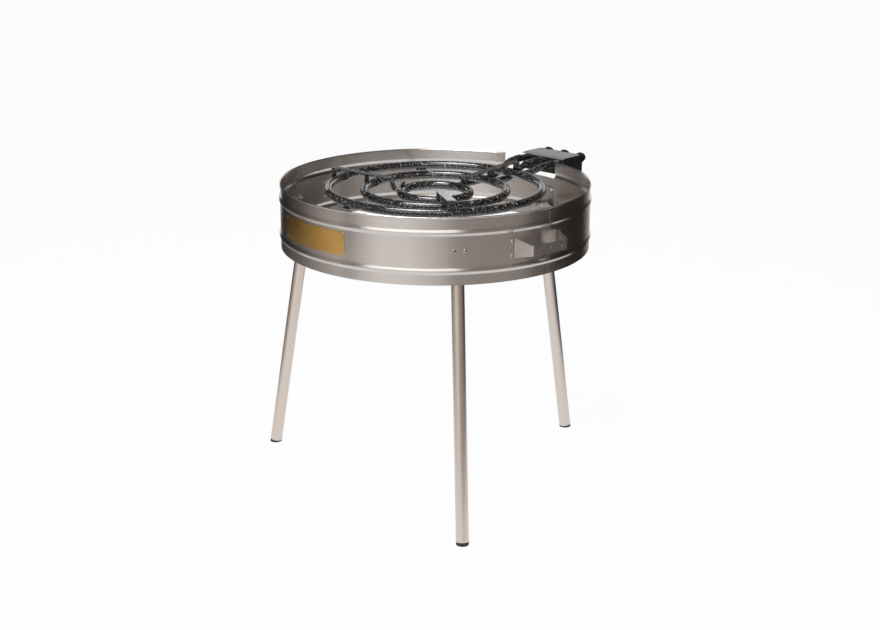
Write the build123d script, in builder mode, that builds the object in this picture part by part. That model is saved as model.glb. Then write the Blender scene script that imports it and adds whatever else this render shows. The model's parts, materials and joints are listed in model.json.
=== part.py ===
from build123d import *
import math
import os

# A round steel cooking stand: a wind guard drum on three splayed tube legs,
# with a three-ring gas burner that hangs in the drum and feeds from a control
# box behind it. Millimetres and degrees, +Z up, the floor at zero height.
# Azimuths run round the drum axis from the front (-Y) towards +X.

# Drum
drum_radius = 350.0
drum_height = 145.0
rim_height = 700.0
drum_sheet = 1.5
bead_width = 16.5
bead_proud = 3.2
upper_bead_drop = 33.0
lower_bead_rise = 30.0
notch_azimuth = 189.7
notch_width = 155.0
notch_depth = 44.5
notch_corner = 10.0

# Nameplate
nameplate_azimuth = 1.6
nameplate_width = 213.0
nameplate_tall = 51.5
nameplate_drop = 71.5
nameplate_sheet = 1.0
rivet_inset_across = 7.0
rivet_inset_up = 5.0
rivet_radius = 1.6
rivet_head = 2.8
rivet_head_rise = 1.0

# Handles
handle_azimuths = {"right": 90.0, "left": -90.0}
handle_sheet = 2.0
handle_reach = 37.5
handle_wall_width = 118.0
handle_front_width = 95.0
handle_wall_tall = 43.0
handle_front_tall = 22.0
handle_drop = 74.5
handle_flange = 15.0
handle_hole_radius = 2.5
handle_hole_pitch = 31.0
handle_bolt_inset = 5.6

# Legs, their sockets and brackets
leg_azimuths = {"front_right": 60.0, "front_left": -60.0, "rear": 180.0}
leg_splay = 9.55
leg_radius = 14.0
leg_wall = 1.5
socket_wall = 1.8
socket_length = 43.0
socket_rise = 5.0
socket_stop = 3.0
bracket_sheet = 2.0
bracket_width = 46.0
bracket_tall = 76.0
bracket_bolt_rise = 73.0
bracket_bolt_pitch = 24.0
cheek_fall = 14.0
foot_rise = 6.0
foot_plug = 16.0

# Screws and nuts
screw_radius = 2.5
screw_head = 4.6
screw_head_rise = 2.6
nut_flats = 8.0
nut_thick = 4.0
screw_spare = 1.5

# Burner rings, from the outside in, and the rests that carry them
ring_names = ("outer", "middle", "inner")
ring_radii = {"outer": 241.4, "middle": 160.3, "inner": 78.0}
ring_tube = 9.7
ring_wall = 1.5
burner_drop = 18.0
ring_step = 5.8
rest_azimuths = {"front": 0.0, "rear_right": 120.0, "rear_left": -120.0}
rest_sheet = 3.0
rest_width = 24.0
rest_wall_tall = 44.0
rest_wall_drop = 77.0
rest_shoulder = 11.0
pin_radius = 3.0
pin_length = 7.0

# Pan supports
support_azimuths = {"front_right": 60.0, "front_left": -58.0, "rear": 181.7}
support_width = 20.0
support_sheet = 3.0
support_rise = 29.0
support_slope = 6.0
support_inset = 1.2

# Feed tubes: how far each stands from the middle of the arm, and its ring
arm_azimuth = 188.5
feed_edge = 13.0
feed_rise = 6.5
feed_rings = {"inner": -1, "middle": 0, "outer": 1}
feed_radius = 7.6
feed_wall = 1.5
feed_mouth_gap = 7.0
feed_bend = 24.0
dip_setback = 32.0
collar_radius = 9.2
collar_setback = 13.0
collar_length = 18.0

# Control box
box_width = 126.0
box_setback = 30.0
box_length = 75.0
box_tall = 44.0
box_sheet = 1.5
box_top_rise = 11.0
lip_length = 13.0
lip_overhang = 2.0
lip_drop = 1.6
box_flange = 26.0
cover_setback = 10.0
cover_screw_inset = 9.0
cover_screw_radius = 2.0
cover_screw_head = 4.0
cover_screw_head_rise = 1.8

# Gas manifold, valves and knobs
manifold_radius = 7.0
manifold_bore = 4.5
manifold_drop = 22.0
manifold_setback = 9.0
manifold_overrun = 8.0
inlet_hex_flats = 17.0
inlet_hex_length = 8.0
inlet_radius = 6.58
inlet_length = 12.0
inlet_bore = 3.0
inlet_sink = 8.0
manifold_short = 2.5
plug_length = 5.0
valve_radius = 7.6
valve_length = 43.4
valve_bore = 5.2
valve_bore_length = 29.0
neck_radius = 5.0
neck_overrun = 3.2
spigot_radius = 4.0
spigot_sink = 4.0
gas_way = 2.5
injector_thread = 5.0
injector_hex_flats = 14.0
injector_hex_length = 4.0
injector_radius = 4.0
injector_reach = 9.0
injector_tip = 3.0
jet_radius = 0.6
panel_nut_flats = 14.0
panel_nut_thick = 2.5
stem_radius = 3.0
stem_flat = 2.2
stem_sink = 10.0
stem_push = 3.5
knob_gap = 4.3
knob_skirt_radius = 12.5
knob_skirt_length = 6.5
knob_grip_radius = 9.8
knob_grip_length = 7.0
knob_recess_radius = 8.6
knob_recess_depth = 5.0
knob_socket_depth = 6.0
knob_pointer_width = 3.0
knob_pointer_rise = 1.0
knob_edge = 1.0

# Clearances
seat_gap = 0.1
weld_gap = 0.05
bolt_gap = 0.1
running_gap = 0.05
rest_gap = 0.3
leg_fit = 0.1
tube_pass = 2.0
drill_clear = 7.0

# Heights and radii that follow from the sizes above
base_height = rim_height - drum_height
wall_inside = drum_radius - drum_sheet
drill_start = drum_radius + drill_clear
bead_heights = (base_height + lower_bead_rise, rim_height - upper_bead_drop)
nameplate_height = rim_height - nameplate_drop
handle_height = rim_height - handle_drop
ring_level = rim_height - burner_drop
feed_height = ring_level + feed_rise
ring_heights = {name: ring_level - step * ring_step for step, name in enumerate(ring_names)}
feed_pitch = box_width / 2 - feed_edge
dip_start = drum_radius - dip_setback
collar_start = drum_radius - collar_setback
box_near = drum_radius + box_setback
box_far = box_near + box_length
box_top = feed_height + box_top_rise
box_base = box_top - box_tall
panel_inside = box_far - box_sheet
valve_near = panel_inside - seat_gap - valve_length
valve_seat = valve_near + valve_bore_length
manifold_along = valve_near + manifold_setback
feed_mouth = valve_near - feed_mouth_gap
knob_near = box_far + knob_gap
knob_far = knob_near + knob_skirt_length + knob_grip_length

# The origin is under the middle of the whole outline, so the drum axis stands
# forward of it by half of what the control box adds at the back.
arm_turn = math.radians(arm_azimuth - 180.0)
front_reach = drum_radius + bead_proud
back_reach = (knob_far + knob_pointer_rise) * math.cos(arm_turn)
back_reach += (feed_pitch + knob_grip_radius) * math.sin(arm_turn)
axis_y = (front_reach - back_reach) / 2
drum_axis = Axis((0, axis_y, 0), (0, 0, 1))
up = Vector(0, 0, 1)
quarter_turn = 90.0


def bearing(azimuth):
    """Unit vector that points outwards from the drum axis."""
    turn = math.radians(azimuth)
    return Vector(math.sin(turn), -math.cos(turn), 0)


def round_point(azimuth, radius, height):
    """Point at an azimuth, a radius from the drum axis and a height."""
    return Vector(0, axis_y, height) + bearing(azimuth) * radius


def section_plane(azimuth):
    """Upright plane through the drum axis: x is the radius, y the height."""
    outward = bearing(azimuth)
    return Plane(origin=(0, axis_y, 0), x_dir=outward, z_dir=outward.cross(up))


def outward_plane(azimuth, radius, height):
    """Plane square to a radius, facing outwards, with y up."""
    outward = bearing(azimuth)
    return Plane(origin=round_point(azimuth, radius, height), x_dir=up.cross(outward), z_dir=outward)


def level_plane(azimuth, height):
    """Level plane on the drum axis: x points outwards at the azimuth."""
    return Plane(origin=(0, axis_y, height), x_dir=bearing(azimuth), z_dir=up)


def radius_axis(azimuth, height):
    """Axis that leaves the drum axis at an azimuth and a height."""
    return Axis(round_point(azimuth, 0, height), bearing(azimuth))


def sweep_degrees(length, radius):
    """Turn in degrees that an arc of a length takes at a radius."""
    return math.degrees(length / radius)


# Leg axis: the socket's lower end lies against the bracket on the drum wall.
splay = math.radians(leg_splay)
socket_bore = leg_radius + leg_fit
socket_radius = socket_bore + socket_wall
bracket_face = wall_inside - seat_gap - bracket_sheet
socket_base = base_height + socket_rise
socket_axis_radius = bracket_face - seat_gap - socket_radius * math.cos(splay)
leg_floor_radius = socket_axis_radius + socket_base * math.tan(splay)
socket_start = socket_base / math.cos(splay)
socket_end = socket_start + socket_length
leg_end = socket_end - socket_stop - rest_gap


def leg_axis_radius(height):
    """Radius of a leg's axis at a height."""
    return leg_floor_radius - height * math.tan(splay)


def leg_plane(azimuth, distance):
    """Plane square to a leg, at a distance up its axis from the floor."""
    direction = up * math.cos(splay) - bearing(azimuth) * math.sin(splay)
    origin = round_point(azimuth, leg_floor_radius, 0) + direction * distance
    return Plane(origin=origin, x_dir=up.cross(bearing(azimuth)), z_dir=direction)


# Arm of the burner: across runs to the right of it, along runs outwards.
along_arm = bearing(arm_azimuth)
across_arm = along_arm.cross(up)


def arm_point(across, along, height):
    """Point given across the arm, along it and by height."""
    return Vector(0, axis_y, height) + across_arm * across + along_arm * along


def arm_plane(across, along, height):
    """Plane square to the arm, facing outwards, with y up."""
    return Plane(origin=arm_point(across, along, height), x_dir=-across_arm, z_dir=along_arm)


def arm_level(height):
    """Level plane of the arm: x runs across it and y along it."""
    return Plane(origin=(0, axis_y, height), x_dir=across_arm, z_dir=up)


def arm_side(across):
    """Upright plane along the arm: x runs along it and y up."""
    return Plane(origin=arm_point(across, 0, 0), x_dir=along_arm, z_dir=across_arm)


def across_plane(across, along, height):
    """Plane square to the across direction, facing right, with y up."""
    return Plane(origin=arm_point(across, along, height), x_dir=along_arm, z_dir=across_arm)


def wall_line(radius):
    """One face of the drum wall, from base to rim, with its beads."""
    low = base_height
    for centre in bead_heights:
        foot = centre - bead_width / 2
        head = centre + bead_width / 2
        Line((radius, low), (radius, foot))
        ThreePointArc((radius, foot), (radius + bead_proud, centre), (radius, head))
        low = head
    Line((radius, low), (radius, rim_height))


def d_shape(gap):
    """Round section with one flat, as on a valve stem, grown by a gap."""
    Circle(stem_radius + gap)
    with Locations((0, stem_flat + gap)):
        Rectangle(4 * stem_radius, 2 * stem_radius, align=(Align.CENTER, Align.MIN), mode=Mode.SUBTRACT)


def button_section(seat, tip, level, shank, head, rise):
    """Half section of a button-headed fastener that lies along a radius."""
    Polyline((seat + rise, level), (tip, level), (tip, level + shank), (seat, level + shank))
    Line((seat, level + shank), (seat, level + head))
    RadiusArc((seat, level + head), (seat + rise, level), (head * head + rise * rise) / (2 * rise))


# Places of the fasteners in the drum wall, as azimuth and height
rivet_turn = sweep_degrees(nameplate_width / 2 - rivet_inset_across, drum_radius)
rivet_lift = nameplate_tall / 2 - rivet_inset_up
rivet_spots = [
    (nameplate_azimuth + side * rivet_turn, nameplate_height + level * rivet_lift)
    for side in (-1, 1)
    for level in (-1, 1)
]
handle_foot_turn = math.degrees(math.asin(handle_wall_width / 2 / drum_radius))
handle_bolt_turn = handle_foot_turn + sweep_degrees(handle_flange / 2, drum_radius)
handle_bolt_lift = handle_wall_tall / 2 - handle_bolt_inset
handle_bolt_spots = [
    (azimuth + side * handle_bolt_turn, handle_height + level * handle_bolt_lift)
    for azimuth in handle_azimuths.values()
    for side in (-1, 1)
    for level in (-1, 1)
]
bracket_bolt_height = base_height + bracket_bolt_rise
bracket_bolt_turn = sweep_degrees(bracket_bolt_pitch / 2, drum_radius)
bracket_bolt_spots = [
    (azimuth + side * bracket_bolt_turn, bracket_bolt_height)
    for azimuth in leg_azimuths.values()
    for side in (-1, 1)
]

os.makedirs("parts", exist_ok=True)

# Drum shell: one rolled sheet with two beads and a notch for the arm
with BuildPart() as drum_shell:
    with BuildSketch(section_plane(0)):
        with BuildLine():
            wall_line(drum_radius)
            wall_line(wall_inside)
            Line((wall_inside, base_height), (drum_radius, base_height))
            Line((wall_inside, rim_height), (drum_radius, rim_height))
        make_face()
    revolve(axis=drum_axis)
    with BuildSketch(outward_plane(notch_azimuth, 0, rim_height)):
        RectangleRounded(notch_width, 2 * notch_depth, notch_corner)
    extrude(amount=2 * drum_radius, mode=Mode.SUBTRACT)
    with Locations(*[outward_plane(turn, drill_start, level) for turn, level in rivet_spots]):
        Hole(rivet_radius + bolt_gap, 2 * drill_clear)
    screw_spots = handle_bolt_spots + bracket_bolt_spots
    with Locations(*[outward_plane(turn, drill_start, level) for turn, level in screw_spots]):
        Hole(screw_radius + bolt_gap, 2 * drill_clear)
drum_shell.part.label = "drum_shell"
export_step(drum_shell.part, "parts/drum_shell.step")

# Nameplate: a plain curved brass plate on the front of the drum
nameplate_inside = drum_radius + seat_gap
nameplate_face = nameplate_inside + nameplate_sheet
nameplate_sweep = sweep_degrees(nameplate_width, drum_radius)
with BuildPart() as nameplate:
    with BuildSketch(section_plane(nameplate_azimuth - nameplate_sweep / 2)):
        with Locations((nameplate_inside + nameplate_sheet / 2, nameplate_height)):
            Rectangle(nameplate_sheet, nameplate_tall)
    revolve(axis=drum_axis, revolution_arc=nameplate_sweep)
    with Locations(*[outward_plane(turn, drill_start, level) for turn, level in rivet_spots]):
        Hole(rivet_radius + bolt_gap, 2 * drill_clear)
nameplate.part.label = "nameplate"
export_step(nameplate.part, "parts/nameplate.step")

with BuildPart() as nameplate_rivets:
    for turn, level in rivet_spots:
        with BuildSketch(section_plane(turn)):
            with BuildLine():
                rivet_seat = nameplate_face + seat_gap
                rivet_tip = wall_inside - screw_spare
                button_section(rivet_seat, rivet_tip, level, rivet_radius, rivet_head, rivet_head_rise)
            make_face()
        revolve(axis=radius_axis(turn, level))
nameplate_rivets.part.label = "nameplate_rivets"
export_step(nameplate_rivets.part, "parts/nameplate_rivets.step")

# Handles: folded sheet, open above and below, flanged to the drum
handle_seat = drum_radius + seat_gap
handle_front = drum_radius + handle_reach
handle_root = drum_radius * math.cos(math.radians(handle_foot_turn))
flange_sweep = sweep_degrees(handle_flange + handle_sheet, drum_radius)
flange_turn = handle_foot_turn + sweep_degrees((handle_flange - handle_sheet) / 2, drum_radius)
for side, azimuth in handle_azimuths.items():
    with BuildPart() as handle:
        with BuildSketch(level_plane(azimuth, handle_height)):
            with BuildLine():
                Polyline(
                    (handle_root, -handle_wall_width / 2),
                    (handle_front, -handle_front_width / 2),
                    (handle_front, handle_front_width / 2),
                    (handle_root, handle_wall_width / 2),
                )
                offset(amount=handle_sheet, side=Side.RIGHT, closed=True)
            make_face()
            Circle(handle_seat, mode=Mode.SUBTRACT)
        extrude(amount=handle_wall_tall / 2, both=True)
        with BuildSketch(section_plane(azimuth)):
            with Locations((0, handle_height)):
                Polygon(
                    (0, -handle_wall_tall / 2),
                    (handle_root, -handle_wall_tall / 2),
                    (handle_front, -handle_front_tall / 2),
                    (handle_front + 2 * handle_sheet, -handle_front_tall / 2),
                    (handle_front + 2 * handle_sheet, handle_front_tall / 2),
                    (handle_front, handle_front_tall / 2),
                    (handle_root, handle_wall_tall / 2),
                    (0, handle_wall_tall / 2),
                    align=None,
                )
        extrude(amount=handle_wall_width, both=True, mode=Mode.INTERSECT)
        for hand in (-1, 1):
            with BuildSketch(section_plane(azimuth + hand * flange_turn - flange_sweep / 2)):
                with Locations((handle_seat + handle_sheet / 2, handle_height)):
                    Rectangle(handle_sheet, handle_wall_tall)
            revolve(axis=drum_axis, revolution_arc=flange_sweep)
        bolts = [spot for spot in handle_bolt_spots if abs(spot[0] - azimuth) < quarter_turn / 2]
        with Locations(*[outward_plane(turn, drill_start, level) for turn, level in bolts]):
            Hole(screw_radius + bolt_gap, 2 * drill_clear)
        with BuildSketch(outward_plane(azimuth, handle_front - handle_sheet, handle_height)):
            with GridLocations(handle_hole_pitch, 0, 3, 1):
                Circle(handle_hole_radius)
        extrude(amount=3 * handle_sheet, mode=Mode.SUBTRACT)
    handle.part.label = f"{side}_handle"
    export_step(handle.part, f"parts/{side}_handle.step")

with BuildPart() as handle_screws:
    for turn, level in handle_bolt_spots:
        with BuildSketch(section_plane(turn)):
            with BuildLine():
                seat = handle_seat + handle_sheet + seat_gap
                tip = wall_inside - seat_gap - nut_thick - screw_spare
                button_section(seat, tip, level, screw_radius, screw_head, screw_head_rise)
            make_face()
        revolve(axis=radius_axis(turn, level))
handle_screws.part.label = "handle_screws"
export_step(handle_screws.part, "parts/handle_screws.step")

with BuildPart() as handle_nuts:
    nut_face = wall_inside - seat_gap
    with BuildSketch(*[outward_plane(turn, nut_face, level) for turn, level in handle_bolt_spots]):
        RegularPolygon(nut_flats / 2, 6, major_radius=False)
        Circle(screw_radius + weld_gap, mode=Mode.SUBTRACT)
    extrude(amount=-nut_thick)
handle_nuts.part.label = "handle_nuts"
export_step(handle_nuts.part, "parts/handle_nuts.step")

# Leg brackets: a curved plate on the drum wall with two cheeks round the socket
bracket_sweep = sweep_degrees(bracket_width, wall_inside)
bracket_height = base_height + socket_rise + bracket_tall / 2
cheek_offset = socket_radius + weld_gap
cheek_root = bracket_face + bracket_sheet / 2
socket_top = socket_end * math.cos(splay)
for side, azimuth in leg_azimuths.items():
    with BuildPart() as leg_bracket:
        with BuildSketch(section_plane(azimuth - bracket_sweep / 2)):
            with Locations((cheek_root, bracket_height)):
                Rectangle(bracket_sheet, bracket_tall)
        revolve(axis=drum_axis, revolution_arc=bracket_sweep)
        for hand in (-1, 1):
            with BuildSketch(section_plane(azimuth).offset(hand * cheek_offset)):
                Polygon(
                    (cheek_root, socket_base),
                    (leg_axis_radius(socket_base), socket_base),
                    (leg_axis_radius(socket_top), socket_top),
                    (cheek_root, socket_top - cheek_fall),
                    align=None,
                )
            extrude(amount=hand * bracket_sheet)
        bolts = [spot for spot in bracket_bolt_spots if abs(spot[0] - azimuth) < quarter_turn / 2]
        with Locations(*[outward_plane(turn, drill_start, level) for turn, level in bolts]):
            Hole(screw_radius + bolt_gap, 2 * drill_clear)
    leg_bracket.part.label = f"leg_bracket_{side}"
    export_step(leg_bracket.part, f"parts/leg_bracket_{side}.step")

    with BuildPart() as leg_socket:
        with BuildSketch(leg_plane(azimuth, socket_start)):
            Circle(socket_radius)
        extrude(amount=socket_length)
        with BuildSketch(leg_plane(azimuth, socket_start)):
            Circle(socket_bore)
        extrude(amount=socket_length - socket_stop, mode=Mode.SUBTRACT)
    leg_socket.part.label = f"leg_socket_{side}"
    export_step(leg_socket.part, f"parts/leg_socket_{side}.step")

    with BuildPart() as leg:
        with BuildSketch(leg_plane(azimuth, foot_rise)):
            Circle(leg_radius)
            Circle(leg_radius - leg_wall, mode=Mode.SUBTRACT)
        extrude(amount=leg_end - foot_rise)
    leg.part.label = f"leg_{side}"
    export_step(leg.part, f"parts/leg_{side}.step")

    with BuildPart() as foot:
        with BuildSketch(leg_plane(azimuth, -leg_radius)):
            Circle(leg_radius)
        extrude(amount=leg_radius + foot_rise)
        with BuildSketch(leg_plane(azimuth, foot_rise)):
            Circle(leg_radius - leg_wall - weld_gap)
        extrude(amount=foot_plug)
        with BuildSketch(Plane(origin=round_point(azimuth, leg_floor_radius, 0))):
            Circle(4 * leg_radius)
        extrude(amount=-4 * leg_radius, mode=Mode.SUBTRACT)
    foot.part.label = f"foot_{side}"
    export_step(foot.part, f"parts/foot_{side}.step")

with BuildPart() as bracket_screws:
    for turn, level in bracket_bolt_spots:
        with BuildSketch(section_plane(turn)):
            with BuildLine():
                seat = drum_radius + seat_gap
                tip = bracket_face - seat_gap - nut_thick - screw_spare
                button_section(seat, tip, level, screw_radius, screw_head, screw_head_rise)
            make_face()
        revolve(axis=radius_axis(turn, level))
bracket_screws.part.label = "bracket_screws"
export_step(bracket_screws.part, "parts/bracket_screws.step")

with BuildPart() as bracket_nuts:
    nut_face = bracket_face - seat_gap
    with BuildSketch(*[outward_plane(turn, nut_face, level) for turn, level in bracket_bolt_spots]):
        RegularPolygon(nut_flats / 2, 6, major_radius=False)
        Circle(screw_radius + weld_gap, mode=Mode.SUBTRACT)
    extrude(amount=-nut_thick)
bracket_nuts.part.label = "bracket_nuts"
export_step(bracket_nuts.part, "parts/bracket_nuts.step")

# Burner rests: a gusset from the drum wall to a ledge under the outer ring
rest_top = ring_level - ring_tube - rest_gap
rest_inner = ring_radii["outer"] - ring_tube
rest_outer = ring_radii["outer"] + ring_tube
rest_wall_height = rim_height - rest_wall_drop
rest_wall_radius = wall_inside - seat_gap - rest_sheet / 2
rest_sweep = sweep_degrees(2 * rest_width, wall_inside)
for side, azimuth in rest_azimuths.items():
    with BuildPart() as burner_rest:
        with BuildSketch(section_plane(azimuth - rest_sweep / 2)):
            with Locations((rest_wall_radius, rest_wall_height)):
                Rectangle(rest_sheet, rest_wall_tall)
        revolve(axis=drum_axis, revolution_arc=rest_sweep)
        with BuildSketch(section_plane(azimuth)):
            Polygon(
                (rest_wall_radius, rest_wall_height - rest_wall_tall / 2),
                (rest_inner, rest_top - 2 * rest_shoulder),
                (rest_inner, rest_top),
                (rest_outer, rest_top),
                (rest_outer, rest_top - rest_shoulder),
                (rest_wall_radius, rest_wall_height + rest_wall_tall / 2),
                align=None,
            )
        extrude(amount=rest_sheet / 2, both=True)
        with BuildSketch(level_plane(azimuth, rest_top)):
            with Locations(((rest_inner + rest_outer) / 2, 0)):
                Rectangle(rest_outer - rest_inner, rest_width)
        extrude(amount=-rest_sheet)
        with BuildSketch(level_plane(azimuth, rest_top)):
            with Locations((ring_radii["outer"], 0)):
                Circle(pin_radius + rest_gap)
        extrude(amount=-pin_length - rest_gap, mode=Mode.SUBTRACT)
    burner_rest.part.label = f"burner_rest_{side}"
    export_step(burner_rest.part, f"parts/burner_rest_{side}.step")

# Burner rings: closed tubes, each with one gas inlet on its outer side
feed_bore = feed_radius - feed_wall
for name in ring_names:
    across = feed_rings[name] * feed_pitch
    ring_along = math.sqrt(ring_radii[name] ** 2 - across**2)
    with BuildPart() as ring:
        with BuildSketch(section_plane(quarter_turn)):
            with Locations((ring_radii[name], ring_heights[name])):
                Circle(ring_tube)
                Circle(ring_tube - ring_wall, mode=Mode.SUBTRACT)
        revolve(axis=drum_axis)
        with BuildSketch(arm_plane(across, ring_along, ring_heights[name])):
            Circle(feed_bore)
        extrude(amount=2 * ring_tube, mode=Mode.SUBTRACT)
    ring.part.label = f"{name}_ring"
    export_step(ring.part, f"parts/{name}_ring.step")

    # Feed tube of the ring: level at the arm, then down and under the rings it passes
    passed = ring_names[: ring_names.index(name)]
    fall = dip_start - ring_radii["outer"] - ring_tube
    route = [(feed_mouth, feed_height), (dip_start, feed_height)]
    if passed:
        low = ring_heights[passed[-1]] - ring_tube - tube_pass - feed_radius
        end = ring_along + ring_tube
        route += [(dip_start - fall, low), (end + fall / 2, low), (end, ring_heights[name])]
    else:
        route.append((dip_start - fall / 2, ring_heights[name]))
    route.append((ring_along, ring_heights[name]))
    with BuildPart() as feed_tube:
        with BuildLine(arm_side(across)) as centre_line:
            FilletPolyline(*route, radius=feed_bend)
        with BuildSketch(arm_plane(across, feed_mouth, feed_height)):
            Circle(feed_radius)
            Circle(feed_bore, mode=Mode.SUBTRACT)
        sweep(path=centre_line.wire())
        with BuildSketch(section_plane(0)):
            with Locations((ring_radii[name], ring_heights[name])):
                Circle(ring_tube + weld_gap)
        revolve(axis=drum_axis, mode=Mode.SUBTRACT)
    feed_tube.part.label = f"feed_tube_{name}"
    export_step(feed_tube.part, f"parts/feed_tube_{name}.step")

    with BuildPart() as air_collar:
        with BuildSketch(arm_plane(across, collar_start, feed_height)):
            Circle(collar_radius)
            Circle(feed_radius + weld_gap, mode=Mode.SUBTRACT)
        extrude(amount=collar_length)
    air_collar.part.label = f"air_collar_{name}"
    export_step(air_collar.part, f"parts/air_collar_{name}.step")

# Pins under the outer ring that drop into the rests
with BuildPart() as ring_pins:
    for azimuth in rest_azimuths.values():
        with BuildSketch(level_plane(azimuth, rest_top - pin_length)):
            with Locations((ring_radii["outer"], 0)):
                Circle(pin_radius)
        extrude(amount=pin_length + rest_gap + pin_radius)
    with BuildSketch(section_plane(quarter_turn)):
        with Locations((ring_radii["outer"], ring_heights["outer"])):
            Circle(ring_tube + weld_gap)
    revolve(axis=drum_axis, mode=Mode.SUBTRACT)
ring_pins.part.label = "ring_pins"
export_step(ring_pins.part, "parts/ring_pins.step")

# Pan supports: a sloping strip with a lug down to each ring
lug_faces = {name: ring_radii[name] + ring_tube - support_inset for name in ring_names}
strip_rise = math.tan(math.radians(support_slope))
strip_end = lug_faces["outer"]
strip_start = ring_radii["inner"]
strip_top = ring_level + support_rise
for side, azimuth in support_azimuths.items():
    with BuildPart() as pan_support:
        with BuildSketch(section_plane(azimuth)):
            Polygon(
                (strip_end, strip_top),
                (strip_end, strip_top - support_sheet),
                (strip_start, strip_top - support_sheet - (strip_end - strip_start) * strip_rise),
                (strip_start, strip_top - (strip_end - strip_start) * strip_rise),
                align=None,
            )
            for name, face in lug_faces.items():
                Polygon(
                    (face, ring_heights[name]),
                    (face, strip_top - (strip_end - face) * strip_rise),
                    (face - support_sheet, strip_top - (strip_end - face + support_sheet) * strip_rise),
                    (face - support_sheet, ring_heights[name]),
                    align=None,
                )
        extrude(amount=support_width / 2, both=True)
        with BuildSketch(section_plane(azimuth)):
            for name in ring_names:
                with Locations((ring_radii[name], ring_heights[name])):
                    Circle(ring_tube + weld_gap)
        revolve(axis=drum_axis, mode=Mode.SUBTRACT)
    pan_support.part.label = f"pan_support_{side}"
    export_step(pan_support.part, f"parts/pan_support_{side}.step")

# Control box: a black tray behind the notch, open above and below
box_front = box_near - lip_overhang + lip_length
box_depth = box_far - box_front
box_wall_top = box_top - box_sheet - seat_gap
manifold_height = feed_height - manifold_drop
cover_far = box_far - cover_setback
cover_screw_along = cover_far - cover_screw_inset
with BuildPart() as control_box:
    with BuildSketch(arm_level(box_base)):
        with Locations((0, box_front + box_depth / 2)):
            Rectangle(box_width, box_depth)
            Rectangle(box_width - 2 * box_sheet, box_depth - 2 * box_sheet, mode=Mode.SUBTRACT)
    extrude(amount=box_wall_top - box_base)
    with BuildSketch(arm_level(box_wall_top)):
        with Locations((0, box_far - box_flange / 2)):
            Rectangle(box_width, box_flange)
        with Locations((0, cover_screw_along)):
            with GridLocations(feed_pitch, 0, 3, 1):
                Circle(cover_screw_radius + bolt_gap, mode=Mode.SUBTRACT)
    extrude(amount=-box_sheet)
    with BuildSketch(arm_plane(0, box_front - box_sheet, feed_height)):
        with GridLocations(feed_pitch, 0, 3, 1):
            Circle(feed_radius + weld_gap)
    extrude(amount=3 * box_sheet, mode=Mode.SUBTRACT)
    with BuildSketch(arm_plane(0, panel_inside - box_sheet, feed_height)):
        with GridLocations(feed_pitch, 0, 3, 1):
            Circle(neck_radius + bolt_gap)
    extrude(amount=3 * box_sheet, mode=Mode.SUBTRACT)
    with BuildSketch(across_plane(-box_width / 2 - box_sheet, manifold_along, manifold_height)):
        Circle(manifold_radius + bolt_gap)
    extrude(amount=3 * box_sheet, mode=Mode.SUBTRACT)
control_box.part.label = "control_box"
export_step(control_box.part, "parts/control_box.step")

# Cover: a plain plate on the box, its near edge bent down as a lip
lip_start = box_near - lip_overhang
with BuildPart() as control_cover:
    with BuildSketch(arm_side(0)):
        Polygon(
            (cover_far, box_top),
            (box_front, box_top),
            (lip_start, box_top - lip_drop),
            (lip_start, box_top - lip_drop - box_sheet),
            (box_front, box_top - box_sheet),
            (cover_far, box_top - box_sheet),
            align=None,
        )
    extrude(amount=box_width / 2, both=True)
    with BuildSketch(arm_level(box_top)):
        with Locations((0, cover_screw_along)):
            with GridLocations(feed_pitch, 0, 3, 1):
                Circle(cover_screw_radius + bolt_gap)
    extrude(amount=-2 * box_sheet, mode=Mode.SUBTRACT)
control_cover.part.label = "control_cover"
export_step(control_cover.part, "parts/control_cover.step")

with BuildPart() as cover_screws:
    for side in feed_rings.values():
        foot_point = arm_point(side * feed_pitch, cover_screw_along, 0)
        with BuildSketch(Plane(origin=foot_point, x_dir=up, z_dir=across_arm)):
            with BuildLine():
                seat = box_top + seat_gap
                tip = box_wall_top - box_sheet
                button_section(
                    seat, tip, 0, cover_screw_radius, cover_screw_head, cover_screw_head_rise
                )
            make_face()
        revolve(axis=Axis(foot_point, up))
cover_screws.part.label = "cover_screws"
export_step(cover_screws.part, "parts/cover_screws.step")

# Gas manifold: a bored bar across the box that the three valves stand on
manifold_left = -box_width / 2 - manifold_overrun
manifold_right = box_width / 2 - manifold_short
spigot_base = manifold_height + manifold_radius - spigot_sink
with BuildPart() as gas_manifold:
    with BuildSketch(across_plane(manifold_left, manifold_along, manifold_height)):
        Circle(manifold_radius)
        Circle(manifold_bore, mode=Mode.SUBTRACT)
    extrude(amount=manifold_right - manifold_left)
    with BuildSketch(arm_level(manifold_height)):
        with Locations((0, manifold_along)):
            with GridLocations(feed_pitch, 0, 3, 1):
                Circle(spigot_radius + weld_gap)
    extrude(amount=2 * manifold_radius, mode=Mode.SUBTRACT)
gas_manifold.part.label = "gas_manifold"
export_step(gas_manifold.part, "parts/gas_manifold.step")

with BuildPart() as manifold_plug:
    with BuildSketch(across_plane(manifold_right, manifold_along, manifold_height)):
        Circle(manifold_bore - weld_gap)
    extrude(amount=-plug_length)
manifold_plug.part.label = "manifold_plug"
export_step(manifold_plug.part, "parts/manifold_plug.step")

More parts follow.
